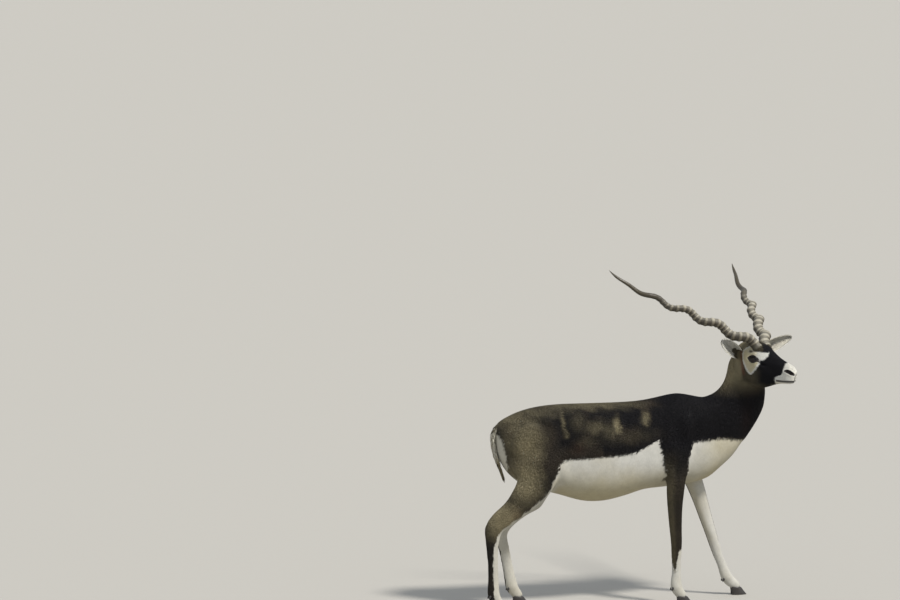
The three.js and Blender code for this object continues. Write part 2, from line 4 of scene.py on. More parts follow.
import bmesh
import bpy
import numpy as np
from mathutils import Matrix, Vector

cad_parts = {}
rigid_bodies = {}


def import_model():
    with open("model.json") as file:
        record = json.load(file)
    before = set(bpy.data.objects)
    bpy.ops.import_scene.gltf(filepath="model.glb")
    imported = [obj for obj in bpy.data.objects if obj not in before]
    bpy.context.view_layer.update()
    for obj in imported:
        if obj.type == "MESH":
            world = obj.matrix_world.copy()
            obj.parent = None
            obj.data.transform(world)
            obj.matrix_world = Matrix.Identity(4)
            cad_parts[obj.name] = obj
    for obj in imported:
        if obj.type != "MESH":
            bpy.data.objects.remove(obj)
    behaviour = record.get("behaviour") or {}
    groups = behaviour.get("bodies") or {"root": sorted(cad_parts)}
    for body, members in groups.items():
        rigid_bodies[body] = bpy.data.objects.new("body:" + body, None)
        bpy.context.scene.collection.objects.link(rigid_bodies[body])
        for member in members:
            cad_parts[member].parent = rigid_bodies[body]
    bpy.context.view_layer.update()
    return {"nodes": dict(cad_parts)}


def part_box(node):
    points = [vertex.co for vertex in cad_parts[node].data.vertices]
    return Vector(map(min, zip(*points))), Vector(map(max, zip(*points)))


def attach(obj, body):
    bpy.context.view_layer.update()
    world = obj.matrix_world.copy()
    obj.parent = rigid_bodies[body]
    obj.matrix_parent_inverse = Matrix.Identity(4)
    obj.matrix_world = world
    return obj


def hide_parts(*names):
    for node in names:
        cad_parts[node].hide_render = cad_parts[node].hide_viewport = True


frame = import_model()
metre = 0.001  # one millimetre, in metres
sides = {"right": -1, "left": 1}
print("frame: %d nodes" % len(frame["nodes"]))


# Vectors and smooth rows

def unit(vectors):
    return vectors / np.maximum(np.linalg.norm(vectors, axis=-1, keepdims=True), 1e-12)


def turned(vector, axis, degrees):  # Rodrigues: v cos + (k x v) sin + k (k . v)(1 - cos)
    axis, vector = unit(np.array(axis, float)), np.array(vector, float)
    c, s = math.cos(math.radians(degrees)), math.sin(math.radians(degrees))
    return vector * c + np.cross(axis, vector) * s + axis * (axis @ vector) * (1 - c)


def smoothStep(low, high, value):  # 3 t^2 - 2 t^3 of the share between low and high
    t = np.clip((np.asarray(value, float) - low) / (high - low), 0, 1)
    return t * t * (3 - 2 * t)


def mix(a, b, share):
    return a + (b - a) * share


def bell(value, middle, width):  # exp(-d^2), d the distance from the middle in widths
    return np.exp(-(((value - middle) / width) ** 2))


def patch(x, z, middleX, middleZ, halfX, halfZ):  # the same in two directions
    return np.exp(-(((x - middleX) / halfX) ** 2) - ((z - middleZ) / halfZ) ** 2)


def leant(x, z, degrees):  # turned about y
    c, s = math.cos(math.radians(degrees)), math.sin(math.radians(degrees))
    return x * c + z * s, z * c - x * s


def mirrored(points):  # the right side's points put onto the left side, where y is positive
    return points * [1, 0, 1] + np.abs(points) * [0, 1, 0]


def smoothRows(rows, between):
    # A cubic between each two rows; its tangent at a row is half the step between the row's neighbours
    rows = np.asarray(rows, float)
    last = len(rows) - 1
    step = np.arange(last * between + 1) / between
    i = np.minimum(step.astype(int), last - 1)
    t = (step - i)[:, None]
    a, b = rows[i], rows[i + 1]
    before, after = rows[np.maximum(i - 1, 0)], rows[np.minimum(i + 2, last)]
    ends = (2 * t**3 - 3 * t**2 + 1) * a + (3 * t**2 - 2 * t**3) * b
    return ends + (t**3 - 2 * t**2 + t) * (b - before) / 2 + (t**3 - t**2) * (after - a) / 2


def sections(centre, side, rise, fall, around, fullness=2.0):
    # Point = centre + side * across + rise or fall * |up|, with across and up on a superellipse
    angle = 2 * np.pi * np.arange(around) / around
    c, s = np.cos(angle), np.sin(angle)
    across = np.sign(c) * np.abs(c) ** (2 / fullness)
    up = np.sign(s) * np.abs(s) ** (2 / fullness)
    upright = np.where((up > 0)[None, :, None], rise[:, None], fall[:, None])
    return centre[:, None] + side[:, None] * across[None, :, None] + upright * np.abs(up)[None, :, None]


def uprightSections(x, top, bottom, half, middle, around, fullness):  # sections across a level line
    nought = np.zeros_like(x)
    return sections(
        np.stack([x, nought, middle], -1), np.stack([nought, half, nought], -1),
        np.stack([nought, nought, top - middle], -1), np.stack([nought, nought, bottom - middle], -1),
        around, fullness)


def closedTube(grid):
    # Quads between neighbouring rings, and a fan to the middle of each end ring
    rows, around, _ = grid.shape
    index = np.arange(rows * around).reshape(rows, around)
    after = np.roll(index, -1, axis=1)
    quads = np.stack([index[:-1], after[:-1], after[1:], index[1:]], -1).reshape(-1, 4)
    points = np.vstack([grid.reshape(-1, 3), grid[0].mean(0), grid[-1].mean(0)])
    low, high = np.full(around, rows * around), np.full(around, rows * around + 1)
    fans = np.vstack([np.stack([after[0], index[0], low], -1), np.stack([index[-1], after[-1], high], -1)])
    return outwards(points, [quads, fans])


def outwards(points, faces):
    # The volume under the faces tells which way they point
    parts = [f if f.shape[1] == 3 else np.vstack([f[:, [0, 1, 2]], f[:, [0, 2, 3]]]) for f in faces]
    a, b, c = (points[np.vstack(parts)[:, k]] for k in range(3))
    turn = (a * np.cross(b, c)).sum() < 0
    return points, [f[:, ::-1] if turn else f for f in faces]


def joinedParts(parts):
    points = np.vstack([p for p, _ in parts])
    start = np.cumsum([0] + [len(p) for p, _ in parts])
    faces = [f + s for (_, fs), s in zip(parts, start) for f in fs]
    return points, faces


def sphere(centre, radius, rows=28, stretch=(1, 1, 1)):
    # Rings of latitude about z, closed at the poles
    lat = np.pi * (np.arange(1, rows) / rows - 0.5)
    lon = 2 * np.pi * np.arange(2 * rows) / (2 * rows)
    ring = np.stack(np.broadcast_arrays(
        np.cos(lat)[:, None] * np.cos(lon), np.cos(lat)[:, None] * np.sin(lon), np.sin(lat)[:, None]), -1)
    points, faces = closedTube(ring)
    points[-2:] = [[0, 0, -1], [0, 0, 1]]
    return np.array(centre) + points * radius * np.array(stretch), faces


# The body's own frame, the head's, and the model's

head = {
    "centre": (316, -78, 919),  # midway between the eyes
    "yaw": -55,
    "pitch": 7.5,
    "roll": 4.5,
    # x, top, bottom, half width, from the poll to the nose
    "stations": [
        (-104, 30, -46, 22), (-94, 46, -64, 37), (-72, 60, -86, 47), (-40, 68, -101, 51),
        (-8, 67, -104, 52), (22, 61, -106, 49), (50, 47, -98, 41), (80, 34, -84, 32), (108, 25, -71, 27),
        (134, 18, -64, 26), (154, 14, -60, 25.5), (167, 4, -56, 22), (175, -11, -48, 13),
    ],
    "browLift": 12,
    "fullness": 2.2,
    "around": 40,  # points in a section
}
headForward = turned(turned((1, 0, 0), (0, 1, 0), head["pitch"]), (0, 0, 1), head["yaw"])
headLeft = turned(turned((0, 1, 0), (0, 0, 1), head["yaw"]), headForward, -head["roll"])
headUp = np.cross(headForward, headLeft)
headAxes = np.stack([headForward, headLeft, headUp])


def fromHead(points):
    return np.asarray(points, float) @ headAxes + np.array(head["centre"])


def toHead(points):
    return (points - np.array(head["centre"])) @ headAxes.T


hoof = {"top": 30, "soleLength": 29, "topLength": 19, "soleHalfWidth": 9.4, "topHalfWidth": 8.6,
        "reach": 13, "between": 1.4, "toeNarrowing": 0.42}
nearFoot = np.array([8, -85, 32])  # the foot of the right foreleg in the animal's frame
clawBoxes = [np.array(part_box("forehoof_right_claw_" + side)) for side in sides]
shift = np.array([
    clawBoxes[0][1][0] / metre - (nearFoot[0] + hoof["reach"] + hoof["soleLength"]),
    sum(box[:, 1].mean() for box in clawBoxes) / 2 / metre - nearFoot[1],
    0,
])
print("shift of the animal's frame: %.1f, %.1f mm" % tuple(shift[:2]))


def placed(points):
    return (np.asarray(points, float) + shift) * metre


# Meshes

def meshFrom(name, points, faces):
    mesh = bpy.data.meshes.new(name)
    sizes = np.concatenate([np.full(len(f), f.shape[1]) for f in faces])
    corners = np.concatenate([f.ravel() for f in faces])
    mesh.vertices.add(len(points))
    mesh.vertices.foreach_set("co", placed(points).astype(np.float32).ravel())
    mesh.loops.add(len(corners))
    mesh.loops.foreach_set("vertex_index", corners.astype(np.int32))
    mesh.polygons.add(len(sizes))
    mesh.polygons.foreach_set("loop_start", (np.cumsum(sizes) - sizes).astype(np.int32))
    mesh.update(calc_edges=True)
    mesh.validate()
    return mesh


def newObject(name, data):
    made = bpy.data.objects.new(name, data)
    bpy.context.scene.collection.objects.link(made)
    return made


def applied(name, mesh, kind, **settings):  # a modifier's result as a mesh
    holder = newObject(name, mesh)
    change = holder.modifiers.new(name, kind)
    for setting, value in settings.items():
        setattr(change, setting, value)
    done = bpy.data.meshes.new_from_object(holder.evaluated_get(bpy.context.evaluated_depsgraph_get()))
    bpy.data.objects.remove(holder)
    return done


def piece(name, mesh, material, nodes=()):
    made = newObject(name, mesh)
    mesh.materials.clear()
    mesh.materials.append(material)
    mesh.polygons.foreach_set("use_smooth", np.full(len(mesh.polygons), True))
    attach(made, "root")
    if nodes:
        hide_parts(*nodes)
    print("%s: %d faces" % (name, len(mesh.polygons)))
    return made


def read(rows, name, width, kind=np.float32):  # one value of every row
    found = np.empty(len(rows) * width, kind)
    rows.foreach_get(name, found)
    return found.reshape(-1, width)


def pointsOf(mesh):  # back in millimetres in the animal's frame
    return read(mesh.vertices, "co", 3).astype(float) / metre - shift


def faceCentres(mesh):
    return read(mesh.polygons, "center", 3).astype(float) / metre - shift


def movePoints(mesh, points):
    mesh.vertices.foreach_set("co", placed(points).astype(np.float32).ravel())
    mesh.update()


def normalsOf(mesh):
    return read(mesh.vertex_normals, "vector", 3).astype(float)


def relaxed(mesh, points, rounds, weight, keepSize=False):
    # Each round moves a point towards the mean of its neighbours; with keepSize every other one moves it back
    a, b = read(mesh.edges, "vertices", 2, np.int32).T
    number = len(points)
    count = np.maximum(np.bincount(np.concatenate([a, b]), minlength=number), 1)[:, None]
    weight = np.broadcast_to(np.asarray(weight, float), number)[:, None]
    for turn in range(rounds):
        sums = [np.bincount(a, p[b], number) + np.bincount(b, p[a], number) for p in points.T]
        step = -0.53 if keepSize and turn % 2 else 0.5
        points = points + step * weight * (np.stack(sums, -1) / count - points)
    return points


def storeNumber(mesh, name, values):
    mesh.attributes.new(name, "FLOAT", "POINT").data.foreach_set("value", np.asarray(values, np.float32))


def storeColour(mesh, name, colours):  # a fourth column is the alpha, which is 1 without one
    layer = mesh.attributes.new(name, "FLOAT_COLOR", "POINT")
    rgba = np.ones((len(colours), 4), np.float32)
    rgba[:, :colours.shape[1]] = colours
    layer.data.foreach_set("color", rgba.ravel())


# Shader maths: a wire carries a socket's value, and Python operators on wires add Math nodes

class Wire:
    def __init__(self, board, socket):
        self.board = board
        self.socket = socket

    def __add__(self, other):
        return self.board.maths("ADD", self, other)

    def __sub__(self, other):
        return self.board.maths("SUBTRACT", self, other)

    def __rsub__(self, other):
        return self.board.maths("SUBTRACT", other, self)

    def __mul__(self, other):
        return self.board.maths("MULTIPLY", self, other)

    def __truediv__(self, other):
        return self.board.maths("DIVIDE", self, other)

    def __pow__(self, other):
        return self.board.maths("POWER", self, other)

    __radd__ = __add__
    __rmul__ = __mul__


class Board:
    # The node tree of one material, with its shader
    def __init__(self, name, **constants):
        self.material = bpy.data.materials.new(name)
        self.material.use_nodes = True
        self.tree = self.material.node_tree
        self.tree.nodes.clear()
        self.shader = self.tree.nodes.new("ShaderNodeBsdfPrincipled")
        output = self.tree.nodes.new("ShaderNodeOutputMaterial")
        self.tree.links.new(self.shader.outputs[0], output.inputs["Surface"])
        for socket, value in constants.items():
            self.feed(self.shader.inputs[socket.replace("_", " ")], value)

    def feed(self, socket, value):
        if isinstance(value, Wire):
            self.tree.links.new(value.socket, socket)
        elif isinstance(value, (tuple, list)) and len(value) == 3 and socket.type == "RGBA":
            socket.default_value = (*value, 1)
        else:
            socket.default_value = value

    def add(self, kind, settings=None, inputs=None, output=0):
        node = self.tree.nodes.new(kind)
        for name, value in (settings or {}).items():
            if name == "stops":
                ramp = node.color_ramp
                while len(ramp.elements) < len(value):
                    ramp.elements.new(1)
                for element, (place, colour) in zip(ramp.elements, value):
                    element.position = place
                    element.color = (*colour, 1)
            else:
                setattr(node, name, value)
        for name, value in (inputs or {}).items():
            self.feed(node.inputs[name], value)
        return Wire(self, node.outputs[output])

    def maths(self, operation, *values):
        return self.add("ShaderNodeMath", {"operation": operation}, dict(enumerate(values)))

    def blend(self, share, a, b, kind="MIX"):
        settings = {"data_type": "RGBA", "blend_type": kind, "clamp_factor": True}
        return self.add("ShaderNodeMix", settings, {0: share, 6: a, 7: b}, 2)

    def channels(self, name):  # red, green, blue and alpha of a colour that the mesh stores
        stored = self.add("ShaderNodeAttribute", {"attribute_name": name})
        parts = self.add("ShaderNodeSeparateColor", None, {0: stored})
        sockets = (*parts.socket.node.outputs, stored.socket.node.outputs["Alpha"])
        return [Wire(self, socket) for socket in sockets]

    def toned(self, colour, tone, share=1.0):  # the colour times a grey
        grey = self.add("ShaderNodeCombineColor", None, {0: tone, 1: tone, 2: tone})
        return self.blend(share, colour, grey, "MULTIPLY")

    def place(self, scale=(1, 1, 1)):
        inputs = {"Vector": self.add("ShaderNodeTexCoord", output=3), "Scale": scale}
        return self.add("ShaderNodeMapping", {"vector_type": "POINT"}, inputs)

    def noise(self, vector, scale, detail=3.0, rough=0.5):
        inputs = {"Vector": vector, "Scale": scale, "Detail": detail, "Roughness": rough}
        return self.add("ShaderNodeTexNoise", None, inputs)

    def steps(self, value, low, high, bottom=0.0, top=1.0):
        inputs = {"Value": value, "From Min": low, "From Max": high, "To Min": bottom, "To Max": top}
        return self.add("ShaderNodeMapRange", {"interpolation_type": "SMOOTHSTEP"}, inputs)

    def finish(self, colour=None, roughness=None, height=None, strength=0.3, depth=0.001):
        if colour is not None:
            self.feed(self.shader.inputs["Base Color"], colour)
        if roughness is not None:
            self.feed(self.shader.inputs["Roughness"], roughness)
        if height is not None:
            inputs = {"Height": height, "Strength": strength, "Distance": depth}
            self.feed(self.shader.inputs["Normal"], self.add("ShaderNodeBump", None, inputs))
        return self.material


# Forms of the flesh

coatDepth = 2.0  # how far the skin lies inside the coat's outline

trunk = {
    # x, top, bottom, half width, from rump to breast
    "stations": [
        (-700, 690, 628, 22), (-688, 708, 575, 54), (-656, 727, 520, 79), (-605, 748, 474, 95),
        (-540, 763, 448, 103), (-455, 770, 424, 106), (-365, 769, 397, 113), (-285, 768, 393, 118),
        (-205, 768, 408, 116), (-125, 772, 430, 110), (-50, 784, 436, 102), (10, 792, 441, 97),
        (70, 783, 449, 92), (130, 768, 466, 85), (185, 745, 510, 74), (232, 712, 556, 58),
        (268, 672, 602, 30),
    ],
    "widestAt": 0.42,
    "fullness": 2.15,
    "around": 48,
    "legsPart": -300,  # x between the fore legs' half and the hind legs'
}
neck = {
    # nape x, nape z, throat x, throat z, half width, turn to the right, y of the middle
    "stations": [
        (40, 760, 190, 540, 84, 0, 0), (105, 771, 260, 588, 75, 0, 0), (160, 790, 299, 636, 64, 3, 0),
        (193, 826, 327, 682, 55, 10, -3), (206, 868, 347, 726, 50, 21, -7),
        (210, 908, 354, 770, 47, 35, -14), (230, 944, 353, 818, 42, 50, -24),
        (258, 952, 334, 868, 30, 55, -32),
    ],
    "around": 40,
}
limb = {"coatDepthShare": 0.8, "around": 28}  # the hair is shorter on the limbs
hindFlesh = [  # half width, flesh in front of the leg's line, flesh behind it
    (38, 88, 84), (48, 114, 104), (42, 76, 76), (28, 46, 48), (22, 34, 41), (17, 23, 29),
    (14, 20, 23), (14, 20, 23), (18, 23, 26), (16, 20, 19), (13, 15, 13),
]
foreFlesh = [
    (30, 60, 64), (37, 60, 66), (31, 38, 46), (24, 30, 33), (20, 24, 26), (21, 22, 22),
    (16, 18, 21), (14, 17, 21), (18, 22, 25), (16, 20, 18), (13, 15, 12),
]
legs = {
    "fore_right": (foreFlesh, [
        (30, -50, 668), (8, -70, 582), (-8, -80, 500), (-19, -88, 392), (-17, -87, 296), (-14, -86, 236),
        (-13, -85, 186), (-12, -85, 122), (-12, -85, 64), (8, -85, 32), (14, -85, 23)]),
    "fore_left": (foreFlesh, [
        (40, 50, 668), (50, 68, 582), (78, 74, 505), (115, 76, 402), (147, 73, 300), (168, 71, 233),
        (184, 70, 184), (208, 70, 124), (232, 70, 66), (263, 70, 34), (270, 70, 24)]),
    "hind_right": (hindFlesh, [
        (-584, -50, 652), (-562, -68, 578), (-566, -80, 488), (-640, -96, 398), (-719, -95, 328),
        (-733, -94, 262), (-732, -93, 196), (-730, -92, 128), (-728, -92, 66), (-710, -92, 32),
        (-704, -92, 23)]),
    "hind_left": (hindFlesh, [
        (-572, 50, 652), (-534, 66, 578), (-508, 74, 484), (-546, 81, 398), (-622, 79, 330),
        (-652, 78, 272), (-641, 77, 206), (-626, 76, 132), (-612, 75, 66), (-591, 75, 34), (-585, 75, 24)]),
}
eye = {"centre": (2, 37, 2), "radius": 18.5, "lid": 2.0, "halfLength": 17.5, "halfHeight": 11.2, "tilt": 2,
       "opening": (-2, 2.5), "looks": (0.2, 1, 0.06),  # opening: the almond's middle, along and across
       "bareLength": 28, "bareHeight": 15.5,  # half sizes of the dark almond of skin round it
       "reach": 34,  # how far from the ball's middle the lids' skin lies at most
       "sunk": 4,  # how far the skin lies behind the ball's surface in the opening
       "rimHeight": 0.9, "rimRadius": 1.15, "lashHeight": 1.6}


def trunkForm():  # upright superellipses, widest a little below the middle
    x, top, bottom, half = smoothRows(trunk["stations"], 4).T
    top, bottom, half = top - coatDepth, bottom + coatDepth, half - coatDepth
    middle = mix(bottom, top, trunk["widestAt"])
    return closedTube(uprightSections(x, top, bottom, half, middle, trunk["around"], trunk["fullness"]))


def neckForm():  # ellipses from nape to throat, turned about the vertical
    napeX, napeZ, throatX, throatZ, half, turn, y = smoothRows(neck["stations"], 4).T
    centre = np.stack([(napeX + throatX) / 2, y, (napeZ + throatZ) / 2], -1)
    angle = np.radians(-turn)
    reach = (throatX - napeX) / 2
    toThroat = np.stack([reach * np.cos(angle), reach * np.sin(angle), (throatZ - napeZ) / 2], -1)
    toThroat = toThroat - unit(toThroat) * coatDepth
    side = (half - coatDepth)[:, None] * np.stack([-np.sin(angle), np.cos(angle), 0 * angle], -1)
    return closedTube(sections(centre, side, toThroat, -toThroat, neck["around"]))


def skullForm():  # superellipses along the head's x axis
    x, top, bottom, half = smoothRows(head["stations"], 4).T
    middle = (top + bottom) / 2 + head["browLift"] * (1 - smoothStep(-20, 60, x))
    top, bottom, half = top - coatDepth, bottom + coatDepth, half - coatDepth
    grid = uprightSections(x, top, bottom, half, middle, head["around"], head["fullness"])
    return closedTube(fromHead(grid))


def limbRows(line, flesh):
    # Along a line of joints: its points, half width and flesh before and behind, and the level directions
    # sideways and forwards across it
    rows = smoothRows(np.hstack([line, np.array(flesh, float)]), 4)
    centre = rows[:, :3]
    sideways = np.broadcast_to([0.0, 1.0, 0.0], centre.shape)
    forward = unit(np.cross(sideways, unit(np.gradient(centre, axis=0))))
    return centre, rows[:, 3:].T, sideways, np.where(forward[:, :1] < 0, -forward, forward)


def limbForm(line, flesh):  # ellipses across a line of joints
    centre, flesh, sideways, forward = limbRows(line, flesh)
    half, front, back = (flesh - coatDepth * limb["coatDepthShare"])[..., None]
    return closedTube(sections(centre, sideways * half, forward * front, -forward * back, limb["around"]))


def eyeAxes(side):
    # Out of the head, along the opening, and across it, in the animal's frame
    out = unit(np.array([eye["looks"][0], side * eye["looks"][1], eye["looks"][2]]))
    along = np.array([1.0, 0.0, math.sin(math.radians(eye["tilt"]))])
    along = unit(along - out * (along @ out))
    across = np.cross(along, out) * side
    across = across if across[2] > 0 else -across
    return [axis @ headAxes for axis in (out, along, across)]


def eyeCentre(side):
    return fromHead((eye["centre"][0], side * eye["centre"][1], eye["centre"][2]))


print("skin: joining the forms")
forms = [trunkForm(), neckForm(), skullForm()]
forms += [limbForm(line, flesh) for flesh, line in legs.values()]
forms += [sphere(eyeCentre(side), eye["radius"] + eye["lid"]) for side in sides.values()]
# Muscle and bone that stand out of the plain forms: centre, half sizes, turn in the plane of x and z
swells = [
    ((-585, 84, 640), (72, 22, 78), 20),  # haunch
    ((-520, 78, 560), (50, 20, 60), -30),  # front of the thigh
    ((15, 72, 640), (38, 24, 92), 14),  # shoulder blade
    ((70, 66, 596), (38, 26, 42), 30),  # point of the shoulder
]
for centre, size, turn in swells:
    for side in sides.values():
        points, faces = sphere((0, 0, 0), 1, 20, size)
        x, z = leant(points[:, 0], points[:, 2], turn)
        middle = np.array([centre[0], side * centre[1], centre[2]])
        forms.append((np.stack([x, points[:, 1], z], -1) + middle, faces))


# The skin: one mesh round all forms, finer at the head and finest at the eyes and the muzzle

skin = {
    "voxel": 5.3,  # millimetres
    "bodyRounds": 22,  # rounds of smoothing, all over and then on ever smaller parts
    "evenRounds": 8,
    "headRounds": 6,
    "fineRounds": 5,
    "fineAtEyes": 36,  # within this many millimetres
    "fineFrom": 92,  # and on the head before this x
}


def refined(mesh, chosen):
    work = bmesh.new()
    work.from_mesh(mesh)
    work.faces.ensure_lookup_table()
    edges = {edge for i in np.flatnonzero(chosen) for edge in work.faces[i].edges}
    bmesh.ops.subdivide_edges(work, edges=list(edges), cuts=1, use_grid_fill=True)
    work.to_mesh(mesh)
    work.free()
    mesh.update()
    return mesh


def inHead(points):  # 1 on the head, falling to 0 a little way down the neck
    x, y, z = toHead(points).T
    return smoothStep(-118, -92, x) * smoothStep(-150, -122, z) * (np.abs(y) < 90)


def faceShare(points):  # 1 on the face, falling to 0 at the back of the head
    return inHead(points) * smoothStep(-100, -60, toHead(points)[:, 0])


def eyeDistance(points):
    return np.min([np.linalg.norm(points - eyeCentre(side), axis=1) for side in sides.values()], axis=0)


body = applied("rough", meshFrom("rough", *joinedParts(forms)), "REMESH",
               mode="VOXEL", voxel_size=skin["voxel"] * metre, adaptivity=0)
points = pointsOf(body)
soft = smoothStep(430, 520, points[:, 2]) * (1 - 0.85 * inHead(points))
points = relaxed(body, points, skin["bodyRounds"], soft)
points = relaxed(body, points, skin["evenRounds"], 1.0, keepSize=True)
movePoints(body, points)
print("skin: %d faces, refining the head" % len(body.polygons))

body = refined(body, inHead(faceCentres(body)) > 0.5)
points = relaxed(body, pointsOf(body), skin["headRounds"], inHead(pointsOf(body)), keepSize=True)
movePoints(body, points)
centres = faceCentres(body)
muzzleFront = toHead(centres)[:, 0] > skin["fineFrom"]
body = refined(body, (eyeDistance(centres) < skin["fineAtEyes"]) | (muzzleFront & (inHead(centres) > 0.5)))
points = pointsOf(body)
fine = np.maximum(smoothStep(40, 30, eyeDistance(points)), smoothStep(88, 96, toHead(points)[:, 0]))
points = relaxed(body, points, skin["fineRounds"], fine * inHead(points), keepSize=True)
movePoints(body, points)
print("skin: %d faces" % len(body.polygons))


# The skin's modelling: swells and hollows of muscle and bone, then the head's openings

modelling = {
    # centre (y counts outwards), half sizes, turn in the plane of x and z, how far out in mm
    "body": [
        ((-450, 100, 655), (46, 50, 60), 12, -9),  # hollow of the flank
        ((-508, 78, 728), (24, 24, 22), 0, 5),  # hip bone
        ((-468, 92, 540), (22, 50, 62), -24, 5),  # fold of skin from flank to stifle
        ((-505, 95, 505), (30, 30, 34), 0, 5),  # stifle
        ((-600, 96, 560), (16, 40, 90), 16, -4),  # groove behind the thigh's muscle
        ((-640, 86, 600), (26, 40, 70), 10, 4),
        ((-78, 100, 600), (20, 50, 80), 12, -6),  # hollow behind the shoulder
        ((-30, 96, 590), (34, 40, 40), 20, 6),  # muscle above the elbow
        ((-34, 100, 505), (14, 30, 20), 0, 5),  # elbow
        ((38, 78, 690), (9, 40, 60), 12, 3),  # ridge of the shoulder blade
        ((66, 78, 660), (14, 40, 60), 14, -3),
        ((150, 70, 660), (30, 40, 70), 30, -5),  # groove between neck and shoulder
        ((205, 0, 560), (40, 30, 50), 30, 5),  # breast bone
        ((150, 40, 540), (30, 14, 50), 30, -4),
        ((-10, 0, 800), (70, 22, 30), 0, 3),  # withers
        ((-300, 0, 770), (200, 10, 30), 0, 1.5),  # back bone
    ],
    "head": [
        ((-4, 44, 26), (20, 12, 7), 2.4),  # brow
        ((22, 44, -18), (22, 12, 6), 2.2),  # ridge under the eye
        ((44, 37, -8), (11, 12, 4.5), -5.5),  # scent gland's pit in front of the eye
        ((44, 37, -15), (12, 10, 4), 1.6),
        ((-30, 52, -62), (26, 18, 22), 3),  # muscle of the jaw
        ((-58, 48, -20), (16, 18, 30), -3),
        ((84, 34, -16), (30, 12, 12), -2.4),  # side of the nose
        ((126, 0, 16), (30, 10, 8), 1.2),  # ridge of the nose
        ((150, 24, -42), (22, 10, 10), 2.4),  # upper lip
        ((140, 22, -66), (26, 12, 8), 1.8),  # lower lip
        ((60, 0, -84), (60, 9, 14), -5),  # between the jaw's two halves
    ],
    "ribs": {"from": -330, "to": -120, "fade": 60, "apart": 33, "height": 0.7},
}
nostril = {"x": 159, "z": -11, "length": 15, "height": 6, "depth": 9, "slant": -17}
mouth = {"corner": (104, -57), "front": (176, -45), "depth": 2.2, "width": 1.5}


def swell(spot, centre, size, turn=0):
    # exp(-d^2), d the distance from the centre in half sizes, the ellipsoid turned about y
    x, y, z = (spot - np.array(centre)).T
    x, z = leant(x, z, -turn)
    return np.exp(-((np.stack([x, y, z], -1) / np.array(size)) ** 2).sum(1))


def eyePlace(points, side):
    # Along the opening, across it, out of the head, and how far across the almond's edge lies
    out, along, across = eyeAxes(side)
    d = points - eyeCentre(side)
    a, c, o = d @ along - eye["opening"][0], d @ across - eye["opening"][1], d @ out
    edge = eye["halfHeight"] * (1 - (a / eye["halfLength"]) ** 2)
    return a, c, o, edge


def nostrilPlace(spot):  # along the nostril's bent slit, and across it
    a, b = leant(spot[:, 0] - nostril["x"], spot[:, 2] - nostril["z"], nostril["slant"])
    return a, b + 0.012 * a**2


def mouthLine(x):
    (x0, z0), (x1, z1) = mouth["corner"], mouth["front"]
    return z0 + (z1 - z0) * np.clip((x - x0) / (x1 - x0), 0, 1) ** 1.3


points, normals = pointsOf(body), normalsOf(body)
headShare = inHead(points)
moved = np.zeros(len(points))
for centre, size, turn, amount in modelling["body"]:
    moved += amount * swell(mirrored(points), centre, size, turn) * (1 - headShare)
ribs = modelling["ribs"]
x, y, z = points.T
ribShare = smoothStep(ribs["from"], ribs["from"] + ribs["fade"], x)
ribShare = ribShare * smoothStep(ribs["to"], ribs["to"] - ribs["fade"], x)
ribShare = ribShare * smoothStep(480, 530, z) * smoothStep(735, 690, z)
moved += ribs["height"] * ribShare * np.cos(2 * np.pi * (x - z * 0.25) / ribs["apart"])
for centre, size, amount in modelling["head"]:
    moved += amount * swell(mirrored(toHead(points)), centre, size) * headShare
# Hocks: hollows between the shin and the tendon behind it; knees: a rounded front
for name, (flesh, line) in legs.items():
    side = sides[name.split("_")[1]]
    line = np.array(line, float)
    if name.startswith("hind"):
        for share, amount in ((0.35, -3.5), (0.75, -2.5)):
            x, y, z = mix(line[4], line[3], share)
            for across in (-22, 22):
                place = (x - 14 + 8 * share, y + across, z + 4)
                moved += amount * swell(points, place, (12, 14, 26), 40)
        moved += 3 * swell(points, line[5] + [-20, 0, 52], (14, 14, 24))  # point of the hock
        if name.endswith("left"):
            moved += 12 * swell(points, [-514, 80, 406], (28, 34, 80))  # front of the gaskin
    else:
        moved += 2.5 * swell(points, line[6] + [16, 0, 4], (8, 16, 16))
    moved += 1.8 * swell(points, line[8] + [0, side * 16, 2], (16, 10, 12))  # fetlock
    moved += 1.8 * swell(points, line[8] - [0, side * 16, -2], (16, 10, 12))
points = points + normals * moved[:, None]

# Mouth and nostrils
spot = toHead(points)
gap = spot[:, 2] - mouthLine(spot[:, 0])
along = smoothStep(mouth["corner"][0] - 3, mouth["corner"][0] + 6, spot[:, 0])
groove = bell(gap, 0, mouth["width"]) * along * headShare
upperLip = bell(gap, 4.5, 3) * along * headShare * 1.1
lowerLip = bell(gap, -4, 3) * along * headShare * 0.9
points = points + normals * (upperLip + lowerLip - groove * mouth["depth"])[:, None]
for side in sides.values():
    a, b = nostrilPlace(spot)
    d = np.sqrt((a / nostril["length"]) ** 2 + (b / nostril["height"]) ** 2)
    here = headShare * (spot[:, 1] * side > 4)
    pit = smoothStep(1.15, 0.55, d) * here
    rim = bell(d, 1.45, 0.35) * here
    points = points + normals * (rim * 1.4)[:, None]
    inwards = np.array([-0.35, -side * 0.75, -0.1]) @ headAxes
    points = points + unit(inwards) * (pit * nostril["depth"])[:, None]

